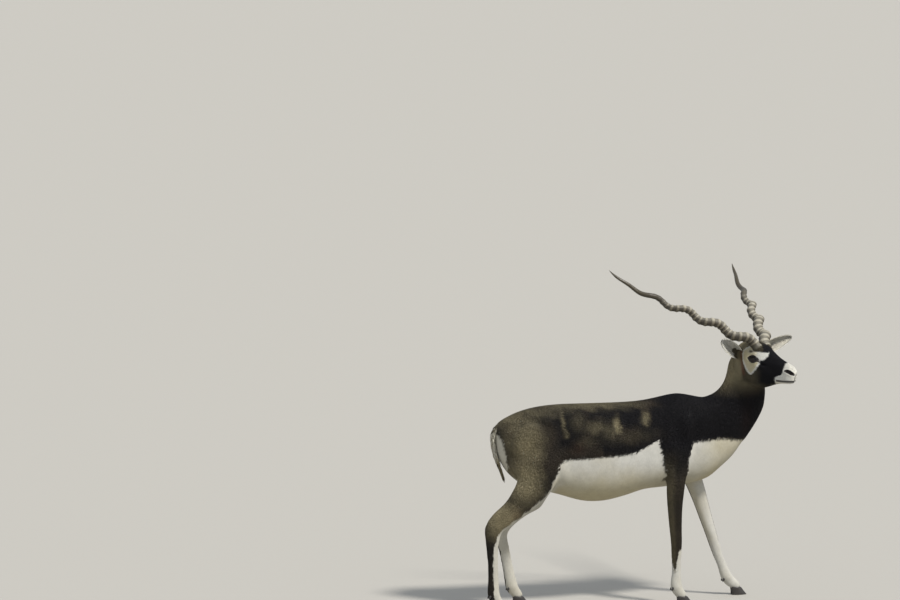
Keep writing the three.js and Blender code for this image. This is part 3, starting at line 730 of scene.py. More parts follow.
# Lids: inside the almond the skin sinks behind the eyeball, and around it stands a lid's thickness proud
for side in sides.values():
    a, c, o, edge = eyePlace(points, side)
    centre = eyeCentre(side)
    distance = np.linalg.norm(points - centre, axis=1)
    ray = unit(points - centre)
    outside = np.abs(c) - edge
    front = (o > 0) & (distance < eye["reach"])
    opening = front & (outside < 0) & (np.abs(a) < eye["halfLength"])
    lidReach = smoothStep(9, 1, np.maximum(outside, np.abs(a) - eye["halfLength"]))
    lid = np.maximum(distance, mix(distance, eye["radius"] + eye["lid"], lidReach))
    crease = bell(outside, 6.5, 1.6) * (c > 0) * 1.2 + bell(outside, 5.5, 1.5) * (c < 0) * 0.7
    lid = lid - crease * (np.abs(a) < eye["halfLength"] * 1.1)
    lid = np.where(opening, eye["radius"] - eye["sunk"], lid)
    points = np.where(front[:, None], centre + ray * lid[:, None], points)
movePoints(body, points)


# Markings: how white, olive and rusty the coat is at a place; the rest is blackish brown

markings = {
    # x and z of the line under which the flank and the breast are white
    "flank": [(-760, 560), (-500, 560), (-421, 578), (-335, 579), (-233, 587), (-171, 596), (-73, 638),
              (58, 624), (184, 633), (281, 616)],
    # z, and how far behind and before the foreleg's line the dark stripe reaches
    "foreStripe": [(110, -12, -8), (150, -17, -4), (180, -19, 0), (212, -60, 6), (244, -70, 60),
                   (450, -70, 60), (500, -38, 40), (550, -54, 28), (640, -92, 37), (700, -200, 200)],
    # z and x of the front edge of the white on the rump
    "rump": [(496, -720), (508, -656), (574, -668), (656, -680), (675, -692), (694, -712)],
    # patches: x, z, half sizes, and the share of olive, of olive taken away, and of rust
    # the olive patches on the flank, in the band along the back and behind the withers are painted sheen,
    # where the coat catches the light; those on the haunch, thigh, hock and rump are the coat's own olive
    "olive": [(-600, 636, 74, 100, 0.88), (-640, 735, 70, 40, 0.6), (-614, 506, 72, 84, 1.1),
              (-694, 352, 66, 76, 1.3), (-560, 748, 120, 20, 0.4), (-322, 690, 44, 24, 0.45),
              (-239, 690, 12, 26, 1.2), (-270, 676, 34, 30, 0.35), (-124, 716, 13, 20, 1.2),
              (-60, 788, 60, 12, 0.5), (-360, 640, 44, 26, 0.18), (-386, 712, 30, 34, 0.25),
              (-320, 764, 240, 14, 0.5), (-200, 655, 110, 26, 0.16)],
    "dark": [(-500, 560, 34, 90, 0.75), (-738, 226, 34, 50, 0.95), (-520, 690, 20, 60, 0.3)],
    "rust": [(-395, 620, 26, 22, 0.12), (272, 690, 22, 60, 0.06), (-650, 372, 20, 30, 0.2)],
    # a pale streak in front of the hip, lighter hair with a painted highlight on it: its half width and its
    # share of olive
    "streak": [(-444, 768), (-449, 724), (-436, 664)],
    "streakSize": (8.5, 0.7),
    # z and x on the head: the rear edge of the muzzle's white
    "muzzle": [(-90, 101), (-58, 99), (-44, 102), (-36, 112), (-29, 128), (-20, 132), (0, 132), (40, 126)],
    # x and z on the head: the edge of white round the eye
    "eyeRing": [(-24, 54), (0, 47), (16, 39), (32, 35), (52, 38), (56, 26), (48, 10), (33, 4), (35, -10),
                (26, -29), (14, -47), (3, -57), (-11, -51), (-30, -31), (-44, -12), (-52, 13), (-50, 31),
                (-37, 43)],
    "headRust": [(-58, 20), (-50, -12), (-32, -58)],  # a rusty line behind that ring
    "faceShade": 0.55,  # how much paler the skin is on the face than on the body
}


def belowLine(x, z, line, soft):
    xs, zs = np.array(line, float).T
    return smoothStep(soft, -soft, z - np.interp(x, xs, zs))


def lineDistance(x, z, line, closed=False):
    # Distance to the nearest point of a chain of straight edges
    line = np.array(line, float)
    start, end = (line, np.roll(line, -1, axis=0)) if closed else (line[:-1], line[1:])
    spot, edge = np.stack([x, z], -1)[:, None], end - start
    t = np.clip(((spot - start) * edge).sum(-1) / (edge**2).sum(-1), 0, 1)
    return np.linalg.norm(spot - start - edge * t[..., None], axis=-1).min(1)


def insideRing(x, z, ring):
    # Distance to a closed chain, positive inside, where a level ray crosses it an odd number of times
    ring = np.array(ring, float)
    following = np.roll(ring, -1, axis=0)
    edge = following - ring
    level = (ring[:, 1] > z[:, None]) != (following[:, 1] > z[:, None])
    rise = np.where(edge[:, 1] == 0, 1e-9, edge[:, 1])
    crossing = ring[:, 0] + (z[:, None] - ring[:, 1]) * edge[:, 0] / rise
    inside = (level & (x[:, None] < crossing)).sum(1) % 2 == 1
    return np.where(inside, 1, -1) * lineDistance(x, z, ring, True)


def limbPlace(points, name):
    # How far off the leg's line, forwards and outwards, in shares of the flesh; the line's nearest point
    flesh, line = legs[name]
    centre, (half, front, back), _, forward = limbRows(line, flesh)
    nearest = ((points[:, None] - centre) ** 2).sum(-1).argmin(1)
    d = points - centre[nearest]
    ahead = (d * forward[nearest]).sum(1)
    outward = d[:, 1] * sides[name.split("_")[1]]
    reach = np.where(ahead > 0, front[nearest], back[nearest])
    return ahead / reach, outward / half[nearest], centre[nearest]


def legNumber(points):  # 0 to 3, in the order of legs: before or behind the middle, right or left
    return (points[:, 0] < trunk["legsPart"]) * 2 + (points[:, 1] > 0)


def warped(x, z):  # sines of both shift a place by up to 6 mm, so that a patch's edge wanders
    return (x + 3 * np.sin(z * 0.09 + 1) + 3 * np.sin(x * 0.19 + z * 0.07),
            z + 3 * np.sin(x * 0.09) + 3 * np.sin(z * 0.23 + x * 0.06))


def patches(x, z, rows):
    return np.maximum.reduce([0 * x] + [amount * patch(x, z, *row) for *row, amount in rows])


def neckOlive(points):  # full at the poll, gone at the shoulder, less towards the throat
    x, _, z = points.T
    throat = smoothStep(-15, 85, x - 232 - (z - 700) * 0.3)
    return smoothStep(770, 900, z) * smoothStep(110, 190, x) * mix(1.35, 0.35, throat)


def bodyMarks(points):  # shares of white, of olive (or in the white, of grey) and of rust
    x, _, z = points.T
    rough = 5 * np.sin(x * 0.11 + 2 * np.sin(z * 0.05)) + 3 * np.sin(z * 0.17 + x * 0.05)
    white = belowLine(x, z, markings["flank"], 6)
    # grey in the white: rising towards the belly's underside it is painted shade with warm light thrown up
    # from the ground; it also rises towards the breast
    grey = 0.05 + 0.75 * smoothStep(560, 420, z) + 0.45 * smoothStep(60, 160, x)
    brown = np.full(len(x), 0.06)
    for i, name in enumerate(legs):
        mine = np.flatnonzero((legNumber(points) == i) & (z < 700))
        aheadShare, outShare, centre = limbPlace(points[mine], name)
        height = z[mine]
        angle = np.degrees(np.arctan2(aheadShare, outShare)) + rough[mine]  # 0 outwards, 90 in front
        if name.startswith("fore"):
            level, behind, before = np.array(markings["foreStripe"], float).T
            off = x[mine] - centre[:, 0] + rough[mine] * 0.25
            stripe = smoothStep(-3, 3, off - np.interp(height, level, behind))
            stripe = stripe * smoothStep(3, -3, off - np.interp(height, level, before))
            stripe = stripe * smoothStep(-0.35, 0.0, outShare)
            inside = smoothStep(0.1, -0.5, outShare) * smoothStep(640, 560, height)
            white[mine] = np.maximum(white[mine], inside) * (1 - stripe * smoothStep(104, 170, height))
            rear = smoothStep(0.1, -0.8, aheadShare)
            onLeg = smoothStep(1.4, 1.1, np.abs(aheadShare)) * smoothStep(480, 420, height)
            # greyer towards the back of the legs' white: painted shade on the side away from the light
            grey[mine] = mix(grey[mine], 0.1 + 0.35 * rear * smoothStep(160, 260, height), onLeg)
            brown[mine] = (0.08 + 0.32 * rear) * smoothStep(620, 440, height)
        else:
            frontFrom = np.interp(height, [60, 230, 280, 340, 430, 580], [-12, -12, 16, 40, 48, 49])
            rearFrom = np.interp(height, [60, 290, 400, 580], [-106, -110, -142, -152])
            pale = np.maximum(smoothStep(-6, 6, angle - frontFrom), smoothStep(6, -6, angle - rearFrom))
            upper = smoothStep(560, 590, height)
            corner = -424 if name.endswith("right") else -450
            thigh = smoothStep(corner, corner - 38, x[mine]) * smoothStep(-0.3, 0.1, outShare)
            white[mine] = mix(np.maximum(pale, smoothStep(54, 42, height)), white[mine] * (1 - thigh), upper)
            onLeg = smoothStep(1.4, 1.1, np.abs(aheadShare)) * smoothStep(500, 440, height)
            grey[mine] = mix(grey[mine], 0.22, onLeg)
    rumpZ, rumpX = np.array(markings["rump"], float).T
    rump = smoothStep(4, -4, x + 0.4 * rough - np.interp(z, rumpZ, rumpX))
    rump = rump * smoothStep(494, 502, z) * smoothStep(700, 690, z)
    white = np.maximum(white, rump)
    # warm grey on the rump's white: painted warm light from the ground in its shade
    grey = np.maximum(grey, 0.35 * rump)
    wanderX, wanderZ = warped(x, z)
    # olive patches, among them the painted sheen on the flank, along the back and behind the withers
    olive = patches(wanderX, wanderZ, markings["olive"])
    width, amount = markings["streakSize"]
    # the hip's pale streak: lighter hair with a painted highlight on it
    streak = lineDistance(x + 0.6 * rough, z, markings["streak"]) / width
    olive = np.maximum(olive, amount * np.exp(-(streak**2)) * (0.75 + 0.25 * np.sin(z * 0.09)))
    olive = olive * (1 - patches(wanderX, wanderZ, markings["dark"]))
    shoulder = smoothStep(-150, 0, wanderX + 0.4 * (z - 700)) * smoothStep(560, 640, z)
    olive = np.maximum(olive * (1 - shoulder), brown * smoothStep(650, 600, z))
    olive = np.maximum(olive, neckOlive(points))
    return np.stack([white, mix(np.clip(olive, 0, 1), grey, white), patches(x, z, markings["rust"])], -1)


def headMarks(points):  # the same shares, from the place in the head's frame
    x, y, z = toHead(points).T
    y = np.abs(y)
    inside = insideRing(x, z, markings["eyeRing"])
    ring = smoothStep(-2, 2, inside) * smoothStep(8, 16, y)
    muzzle = smoothStep(-3, 3, x - np.interp(z, *np.array(markings["muzzle"], float).T))
    throat = smoothStep(40, 110, x) * smoothStep(-66, -80, z) * 0.7
    paintedBrowShade = 0.74 * patch(x, z, -13, 30, 17, 6.5)  # painted shade over the eye, under the brow
    white = np.maximum.reduce([ring * (1 - paintedBrowShade), muzzle, throat])
    olive = 0.3 * smoothStep(55, 10, x) * smoothStep(-10, -50, z) * smoothStep(-118, -80, z)
    fromNeck = np.maximum(smoothStep(-20, -60, x), smoothStep(-70, -104, z))
    olive = np.maximum(olive, neckOlive(points) * fromNeck)
    olive = np.maximum(olive, 0.3 * smoothStep(34, 52, z) * smoothStep(30, -30, x))
    grey = 0.75 * smoothStep(4, 10, inside) * (1 - smoothStep(0, 22, x) * smoothStep(-6, 12, z)) * (x < 80)
    # greyer under the lower jaw: painted shade
    grey = np.maximum(grey, 0.4 * smoothStep(-52, -62, z) * (x > 80))
    rust = 0.9 * bell(lineDistance(x, z, markings["headRust"]), 0, 8)
    return np.stack([white, mix(olive, grey, white), rust], -1)


def coatMarks(points):
    spot = toHead(points)
    share = smoothStep(-92, -66, spot[:, 0]) * smoothStep(-128, -104, spot[:, 2]) * inHead(points)
    return mix(bodyMarks(points), headMarks(points), share[:, None])


print("skin: markings")
points = pointsOf(body)
shade = markings["faceShade"] * faceShare(points)[:, None]
storeColour(body, "marks", np.hstack([coatMarks(points), shade]))


# Unwrap of the skin, which the coat's tufts share

def unwrapped(mesh):
    holder = newObject("unwrap", mesh)
    bpy.context.view_layer.objects.active = holder
    holder.select_set(True)
    mesh.uv_layers.new(name="OFBake")
    bpy.ops.object.mode_set(mode="EDIT")
    bpy.ops.mesh.select_all(action="SELECT")
    bpy.ops.uv.smart_project(angle_limit=1.15, island_margin=0.004, scale_to_bounds=True)
    bpy.ops.object.mode_set(mode="OBJECT")
    bpy.data.objects.remove(holder)


unwrapped(body)
print("skin: unwrapped")


# The coat's materials: blackish brown, mixed with olive, rust and white by the marks, with a fine grain

coatLook = {
    "dark": (0.0065, 0.006, 0.0078),
    "darkBrown": (0.024, 0.0175, 0.0145),
    # the coat's olive, which the painted sheen on the flank, back and withers uses too
    "olive": (0.280, 0.240, 0.145),
    "rust": (0.16, 0.058, 0.03),
    "white": (0.71, 0.70, 0.65),
    "cream": (0.61, 0.57, 0.46),
    # a duller, yellower white; under the belly and on the rump it stands for painted shade and warm light
    # from the ground
    "grey": (0.53, 0.455, 0.255),
    "bare": (0.022, 0.018, 0.017),  # skin of the nose, lips and lids
}


def coatMaterial(name, forTufts=False):  # the marks' alpha lightens a tuft, or the skin of the face
    board = Board(name, Roughness=0.6, Specular_IOR_Level=0.16)
    white, olive, rust, shade = board.channels("marks")
    spot = board.place()
    broad = board.noise(spot, 9, 3)
    middling = board.noise(spot, 38, 4, 0.6)
    grain = board.noise(board.place((420, 420, 120)), 1, 3, 0.6)
    brownish = board.steps(broad, 0.35, 0.7) * board.steps(olive, 0.0, 0.06)
    dark = board.blend(brownish, coatLook["dark"], coatLook["darkBrown"])
    oliveShare = olive + (middling - 0.5) * 0.24 * board.steps(olive, 0.05, 0.3)
    colour = board.blend(oliveShare, dark, coatLook["olive"])
    colour = board.blend(rust * 0.8, colour, coatLook["rust"])
    pale = board.blend(board.steps(broad, 0.35, 0.75) * 0.6, coatLook["white"], coatLook["cream"])
    pale = board.blend(olive, pale, coatLook["grey"])
    edge = board.steps(white + (grain - 0.5) * 0.35 * board.steps(white, 0.0, 0.25), 0.35, 0.65)
    colour = board.blend(edge, colour, pale)
    tone = (grain * 0.5 + middling * 0.4 + shade * 0.8) * 0.55 + 0.33
    colour = board.toned(colour, tone, 0.9)
    roughness = board.steps(grain, 0.3, 0.8, 0.56, 0.72)
    if not forTufts:
        bare = board.add("ShaderNodeAttribute", {"attribute_name": "bare"}, output="Fac")
        colour = board.blend(board.steps(bare, 0.3, 0.7), colour, coatLook["bare"])
        roughness = roughness - bare * 0.3
    return board.finish(colour, roughness, (grain + middling * 0.6) * (1 - edge * 0.55), 0.5, 0.0012)


def bareness(points):
    # Lids, nostrils and lips have no fur
    spot = toHead(points)
    bare = np.zeros(len(points))
    for side in sides.values():
        a, c, o, _ = eyePlace(points, side)
        near = (o > -4) & (np.linalg.norm(points - eyeCentre(side), axis=1) < eye["reach"])
        almond = eye["bareHeight"] * (1 - np.minimum(np.abs(a / eye["bareLength"]), 1) ** 2)
        lids = smoothStep(-1, 1, almond - np.abs(c))
        beyond = a - eye["halfLength"]
        corner = patch(beyond, c + 3 + 0.3 * beyond, 7, 0, 9, 3)
        bare = np.maximum(bare, np.maximum(lids, corner) * near)
    a, b = nostrilPlace(spot)
    length, height = nostril["length"] * 1.35, nostril["height"] * 1.2
    d = np.sqrt(((a + 1.5) / length) ** 2 + ((b - 0.5) / height) ** 2)
    bare = np.maximum(bare, smoothStep(1.15, 0.9, d) * (spot[:, 0] > 130) * (np.abs(spot[:, 1]) > 5))
    gap = np.abs(spot[:, 2] - mouthLine(spot[:, 0]) - 1)
    lips = 0.62 * smoothStep(7.5, 3, gap) * (spot[:, 0] > mouth["corner"][0] - 2)
    front = 0.55 * smoothStep(160, 168, spot[:, 0]) * smoothStep(5, 3, np.abs(spot[:, 1]))
    front = front * smoothStep(-12, -18, spot[:, 2])
    return np.maximum.reduce([bare, lips, front]) * inHead(points)


skinMaterial = coatMaterial("skin")
tuftMaterial = coatMaterial("tufts", True)
storeNumber(body, "bare", bareness(pointsOf(body)))
fleshNodes = ["torso", "neck", "head"]
fleshNodes += [n for n in frame["nodes"] if n.startswith(("foreleg_", "hindleg_"))]
piece("skin", body, skinMaterial, fleshNodes)


# Eyes: balls with a sideways pupil under a clear glossy layer, and dark rims to the lids

def eyeMaterial():
    board = Board("eyes", Roughness=0.3, Coat_Weight=0.6, Coat_Roughness=0.04, Coat_IOR=1.36,
                  Specular_IOR_Level=0.15)
    a, c = (channel - 0.5 for channel in board.channels("eyePlace")[:2])
    fromMiddle = (a * a + c * c) ** 0.5
    pupil = (a * a + (c * 2.1) * (c * 2.1)) ** 0.5
    rays = board.noise(board.place((600, 600, 600)), 1, 3)
    iris = board.blend(rays, (0.006, 0.0035, 0.0025), (0.018, 0.009, 0.005))
    colour = board.blend(board.steps(pupil, 0.2, 0.25), (0.003, 0.003, 0.004), iris)
    colour = board.blend(board.steps(fromMiddle, 0.37, 0.43), colour, (0.006, 0.005, 0.004))
    return board.finish(colour)


eyeballMaterial = eyeMaterial()
for name, side in sides.items():
    points, faces = sphere((0, 0, 0), 1, 40)
    out, along, across = eyeAxes(side)
    bulge = 1 + 0.035 * smoothStep(0.72, 0.95, points @ out)
    ball = meshFrom("eye", eyeCentre(side) + points * (eye["radius"] * bulge - 0.65)[:, None], faces)
    storeColour(ball, "eyePlace", np.stack([points @ along + 0.5, points @ across + 0.5, points @ out], -1))
    piece("eyeball_" + name, ball, eyeballMaterial, ["eye_" + name])


def loopTube(centres, radius, around=8):
    # A tube whose ends meet
    along = unit(np.roll(centres, -1, axis=0) - np.roll(centres, 1, axis=0))
    middle = centres.mean(0)
    rise = unit(np.cross(along, unit(centres - middle)))
    side = np.cross(rise, along)
    angle = 2 * np.pi * np.arange(around)[:, None] / around
    grid = centres[:, None] + radius * (side[:, None] * np.cos(angle) + rise[:, None] * np.sin(angle))
    rows = len(centres)
    index = np.arange(rows * around).reshape(rows, around)
    after, below = np.roll(index, -1, 1), np.roll(index, -1, 0)
    quads = np.stack([index, after, np.roll(after, -1, 0), below], -1).reshape(-1, 4)
    return outwards(grid.reshape(-1, 3), [quads])


def rimMaterial():
    board = Board("lidRims", Roughness=0.35, Specular_IOR_Level=0.5)
    grain = board.noise(board.place(), 900, 2)
    return board.finish((0.012, 0.010, 0.010), None, grain, 0.3, 0.0004)


def onEyeball(side, a, c, height):  # places along and across the opening, a height over the ball's surface
    out, along, across = eyeAxes(side)
    o = np.sqrt(np.maximum((eye["radius"] + height) ** 2 - a**2 - c**2, 1))
    return eyeCentre(side) + a[:, None] * along + c[:, None] * across + o[:, None] * out


darkRim = rimMaterial()
for name, side in sides.items():
    # The almond's edge
    turn = np.linspace(0, 2 * np.pi, 72, endpoint=False)
    a = eye["halfLength"] * np.cos(turn) + eye["opening"][0]
    c = eye["halfHeight"] * np.sign(np.sin(turn)) * (1 - np.cos(turn) ** 2) + eye["opening"][1]
    rim = loopTube(onEyeball(side, a, c, eye["rimHeight"]), eye["rimRadius"])
    piece("lidRim_" + name, meshFrom("rim", *rim), darkRim)


# Horns: a corkscrew line with rings, smooth towards the tip

horn = {
    "root": (22, 8, 46), "direction": (-504, 361, 200), "length": 660, "rootDrop": 16, "rootBend": 0.08,
    "turns": 5.2, "phase": -2.4, "swing": 9, "sag": 18.7, "spread": 9, "rootRadius": 21, "tipRadius": 4,
    "tipRounding": 0.05, "rings": 26, "ringHeight": 2.8, "ringedShare": 0.78, "ringFade": 0.25,
    "straightFrom": 0.55, "straightened": 0.93, "flatness": 0.92, "rowsPerRing": 14, "smoothRows": 70,
    "around": 40,
}


def hornForm(side):
    # Root + length t along the axis, with a swing that turns round it, a spread and a sag
    axis = unit(np.array(horn["direction"], float) * [1, side, 1])
    across = unit(np.cross([0, 0, side], axis))
    upward = np.cross(axis, across) * side
    rows = horn["rings"] * horn["rowsPerRing"]
    ringed = np.arange(rows) / rows * horn["ringedShare"]
    t = np.concatenate([ringed, np.linspace(horn["ringedShare"], 1, horn["smoothRows"])])

    def line(t):
        straight = horn["straightened"] * smoothStep(horn["straightFrom"], 1, t)
        swing = horn["swing"] * smoothStep(0, 0.12, t) * (1 - straight)
        angle = 2 * np.pi * horn["turns"] * t + horn["phase"]
        sag = horn["sag"] * t**4 * (1 - t) / (0.8**4 * 0.2)
        drop = horn["rootDrop"] * (1 - smoothStep(0, horn["rootBend"], t))
        sideways = swing * np.cos(angle) - horn["spread"] * np.sin(np.pi * t)
        rise = swing * np.sin(angle) - sag - drop
        root = np.array(horn["root"], float) * [1, side, 1]
        return root + t[:, None] * horn["length"] * axis + sideways[:, None] * across + rise[:, None] * upward

    centre = line(t)
    along = unit(line(np.minimum(t + 0.01, 1)) - line(np.maximum(t - 0.01, 0)))
    sideAxis = unit(np.cross(upward, along))
    riseAxis = np.cross(along, sideAxis)
    turn = 2 * np.pi * np.arange(horn["around"]) / horn["around"]
    fade = 1 - smoothStep(horn["ringedShare"] - horn["ringFade"], horn["ringedShare"], t)
    # Rings lean a little and differ from each other in height
    lean = 0.16 * np.cos(turn + side * 0.6)
    phase = t[:, None] * horn["rings"] / horn["ringedShare"] + lean
    number = np.floor(phase)
    share = phase - number
    crest = np.exp(-(np.abs((share - 0.52) / 0.24) ** 2.4))
    crest = crest * (0.84 + 0.16 * np.sin(number * 2.4) * np.cos(turn + number))
    flutes = 0.3 * np.sin(turn * 9 + t[:, None] * 40) * smoothStep(1, 0.9, t)[:, None]
    flutes = flutes + 0.22 * np.sin(2 * np.pi * phase * 3 + 1.5 * np.sin(turn * 2)) * (1 - crest)
    taper = mix(horn["rootRadius"], horn["tipRadius"], t**1.5)
    radius = taper[:, None] + (crest - 0.5) * (horn["ringHeight"] * fade)[:, None]
    radius = radius + flutes * np.minimum(taper / 8, 1)[:, None] * 0.8
    radius = radius * np.sqrt(np.clip((1 - t) / horn["tipRounding"], 0.03, 1))[:, None]
    c, s = np.cos(turn)[:, None], (np.sin(turn) * horn["flatness"])[:, None]
    grid = centre[:, None] + radius[..., None] * (sideAxis[:, None] * c + riseAxis[:, None] * s)
    up = np.broadcast_to(np.sin(turn), radius.shape)
    places = np.stack([crest * fade[:, None], np.broadcast_to(t[:, None], radius.shape), up * 0.5 + 0.5], -1)
    return closedTube(fromHead(grid)), np.vstack([places.reshape(-1, 3), [0, 0, 0.5], [0, 1, 0.5]])


def hornMaterial():  # dark grooves, pale crests, a painted highlight on the upper side that is strongest on the crests, a smooth tip and a hairy foot
    board = Board("hornSheath", Specular_IOR_Level=0.45)
    crest, along, up, _ = board.channels("hornPlace")
    spot = board.place()
    streaks = board.noise(spot, 260, 5, 0.65)
    patches = board.noise(spot, 26, 3)
    groove = board.blend(patches, (0.026, 0.021, 0.014), (0.058, 0.048, 0.032))
    ridge = board.blend(patches, (0.085, 0.072, 0.049), (0.165, 0.144, 0.102))
    colour = board.blend(board.steps(crest + (streaks - 0.5) * 0.6, 0.2, 0.8), groove, ridge)
    # painted highlight on the upper side, stronger on the crests and fading before the tip
    paintedTopHighlight = board.steps(up + (streaks - 0.5) * 0.3, 0.6, 1.0) * board.steps(along, 0.75, 0.5)
    paintedTopHighlight = paintedTopHighlight * (board.steps(crest + (streaks - 0.5) * 0.7, 0.1, 0.8) * 0.5 + 0.3)
    colour = board.blend(paintedTopHighlight, colour, (0.38, 0.352, 0.28))
    tip = board.blend(streaks, (0.024, 0.018, 0.009), (0.066, 0.052, 0.026))
    colour = board.blend(board.steps(along + (patches - 0.5) * 0.1, 0.62, 0.84), colour, tip)
    hairy = board.steps(along + up * 0.05 + (streaks - 0.5) * 0.04, 0.11, 0.06)
    colour = board.blend(hairy, colour, (0.050, 0.045, 0.028))
    roughness = board.steps(along, 0.5, 0.9, 0.55, 0.36)
    return board.finish(colour, roughness, streaks + patches * 0.3 + crest * 0.8, 0.6, 0.0014)


hornSheath = hornMaterial()
for name, side in sides.items():
    form, places = hornForm(side)
    mesh = meshFrom("horn", *form)
    storeColour(mesh, "hornPlace", places)
    piece("hornSheath_" + name, mesh, hornSheath, ["horn_" + name])


# Ears: cupped sheets

ear = {"length": 150, "halfWidth": 28, "thickness": 3.4, "curl": 1.25, "rootShare": 0.45, "depth": 0.55,
       "rows": 46, "columns": 29}
earPlaces = {
    "right": {"root": (-80, -32, 4), "tip": (-65, -168, 67), "faces": (0.85, 0, -0.45)},
    "left": {"root": (-58, 40, 14), "tip": (33, 129, 93), "faces": (0.72, -0.62, -0.2)},
}


def earPoint(place, t, u, inner):
    # A section is an arc of half angle curl; the inner sheet lies the thickness inside the outer one
    root = np.array(place["root"], float)
    axis = unit(np.array(place["tip"], float) - root)
    faces = np.array(place["faces"], float)
    faces = unit(faces - axis * (faces @ axis))
    across = np.cross(faces, axis)
    widening = np.sin(np.pi * np.minimum(t * 1.25, 1) ** 0.8 * 0.62)
    point = np.sqrt(np.maximum(1 - t**3.2, 0.02))
    width = ear["halfWidth"] * (ear["rootShare"] + (1 - ear["rootShare"]) * widening) * point
    curl = ear["curl"] * (1.5 - 0.9 * t)
    radius = width / np.sin(np.minimum(curl, 1.45))
    thin = ear["thickness"] * (1 - 0.4 * t) * np.clip(1.12 - np.abs(u) ** 6, 0.3, 1)
    reach = radius - inner * thin
    angle = curl * u
    local = (root + axis * (ear["length"] * t)[..., None] + across * (reach * np.sin(angle))[..., None]
             + faces * (radius * ear["depth"] - reach * np.cos(angle))[..., None])
    return fromHead(local)


def earForm(place):
    t, u = np.linspace(0, 1, ear["rows"]), np.linspace(-1, 1, ear["columns"])
    rows, columns = np.meshgrid(t, u, indexing="ij")
    outer = earPoint(place, rows, columns, np.zeros_like(rows))
    inner = earPoint(place, rows, columns, np.ones_like(rows))
    grid = np.concatenate([outer, inner[:, ::-1]], 1)
    insideShare = np.concatenate([np.zeros_like(rows), np.ones_like(rows)], 1)
    edge = np.concatenate([np.abs(columns), np.abs(columns[:, ::-1])], 1)
    places = np.stack([insideShare, np.concatenate([rows, rows], 1), edge], -1).reshape(-1, 3)
    return closedTube(grid), np.vstack([places, [0.5, 0, 0.5], [0.5, 1, 1]])


def earMaterial():
    board = Board("earLeather", Roughness=0.6, Specular_IOR_Level=0.25)
    inside, along, edge, _ = board.channels("earPlace")
    spot = board.place()
    grain = board.noise(spot, 420, 3, 0.6)
    patches = board.noise(spot, 45, 3)
    outer = board.blend(patches, (0.20, 0.175, 0.13), (0.34, 0.31, 0.25))
    inner = board.blend(board.steps(edge, 0.35, 0.9), (0.62, 0.57, 0.50), (0.84, 0.82, 0.75))
    # the canal's dark is painted shade in the ear's opening
    canalShade = board.steps(along, 0.34, 0.22) * board.steps(edge, 0.5, 0.3)
    inner = board.blend(canalShade, inner, (0.05, 0.045, 0.03))
    colour = board.blend(board.steps(inside, 0.4, 0.6), outer, inner)
    colour = board.blend(board.steps(along, 0.16, 0.08), colour, (0.12, 0.105, 0.065))
    colour = board.blend(board.steps(along, 0.86, 1.0) * 0.6, colour, (0.03, 0.026, 0.024))
    return board.finish(board.toned(colour, grain * 0.6 + 0.6), None, grain, 0.4, 0.0008)


earLeather = earMaterial()
for name, place in earPlaces.items():
    form, places = earForm(place)
    mesh = meshFrom("ear", *form)
    storeColour(mesh, "earPlace", places)
    piece("ear_skin_" + name, mesh, earLeather, ["ear_" + name])


# Hooves: two claws to a foot, and two small dewclaws behind each fetlock

dewclaw = {"behind": 16, "apart": 9, "height": 64, "length": (-9, 2, -16), "radius": 5.2}


def clawForm(foot, side):
    # Level rings that draw in upwards; the toe is narrowed by cos^2 in front
    share = np.concatenate([[0.0, 0.0, 0.02, 0.06], np.linspace(0.12, 0.9, 12), [0.96, 1.0, 1.0]])
    inset = np.zeros(len(share))
    inset[:4] = [0.6, 0.22, 0.06, 0.0]
    inset[-3:] = [0.05, 0.14, 0.5]
    half = mix(hoof["soleLength"], hoof["topLength"], share) - 0.8 * np.sin(np.pi * share)
    width = mix(hoof["soleHalfWidth"], hoof["topHalfWidth"], share)
    angle = 2 * np.pi * np.arange(40) / 40
    narrow = 1 - hoof["toeNarrowing"] * np.maximum(np.cos(angle), 0) ** 2
    middle = np.stack([
        foot[0] + hoof["reach"] * (1 - share), foot[1] + side * (width + hoof["between"] / 2),
        hoof["top"] * share], -1)
    grid = middle[:, None] + (1 - inset)[:, None, None] * np.stack([
        half[:, None] * np.cos(angle), width[:, None] * np.sin(angle) * narrow,
        np.zeros((len(share), len(angle)))], -1)
    return closedTube(grid)


def hoofMaterial():
    board = Board("hooves", Specular_IOR_Level=0.5)
    spot = board.place((1, 1, 8))
    layers = board.noise(spot, 90, 4, 0.6)
    colour = board.blend(layers, (0.010, 0.009, 0.009), (0.050, 0.043, 0.038))
    roughness = board.steps(layers, 0.3, 0.7, 0.32, 0.5)
    return board.finish(colour, roughness, layers, 0.35, 0.0008)


hoofHorn = hoofMaterial()
for name, (flesh, line) in legs.items():
    node = name.replace("_", "hoof_")
    foot = np.array(line[9], float)
    for clawName, side in sides.items():
        mesh = meshFrom("claw", *clawForm(foot, side))
        claw = "%s_claw_%s" % (node, clawName)
        piece(claw + "_fine", mesh, hoofHorn, [claw])


def dewclawForm(fetlock, side):  # a round peg that thins towards its end
    t = np.linspace(0, 1, 12)
    x, y = fetlock[:2]
    root = np.array([x - dewclaw["behind"], y + side * dewclaw["apart"], dewclaw["height"]])
    reach = np.array(dewclaw["length"], float) * [1, side, 1]
    centre = root + (t - 0.25)[:, None] * reach
    radius = dewclaw["radius"] * np.sqrt(np.clip(1 - (2 * t - 1) ** 2 * 0.98, 0.02, 1)) * mix(1, 0.72, t)
    along = unit(reach)
    sideAxis = unit(np.cross(along, [1, 0, 0]))
    rise = radius[:, None] * np.cross(along, sideAxis)
    return closedTube(sections(centre, radius[:, None] * sideAxis, rise, -rise, 18))


dewclaws = [dewclawForm(line[8], side) for flesh, line in legs.values() for side in sides.values()]
piece("dewclaws", meshFrom("dewclaws", *joinedParts(dewclaws)), hoofHorn)


# Tail: a dock that long locks cover

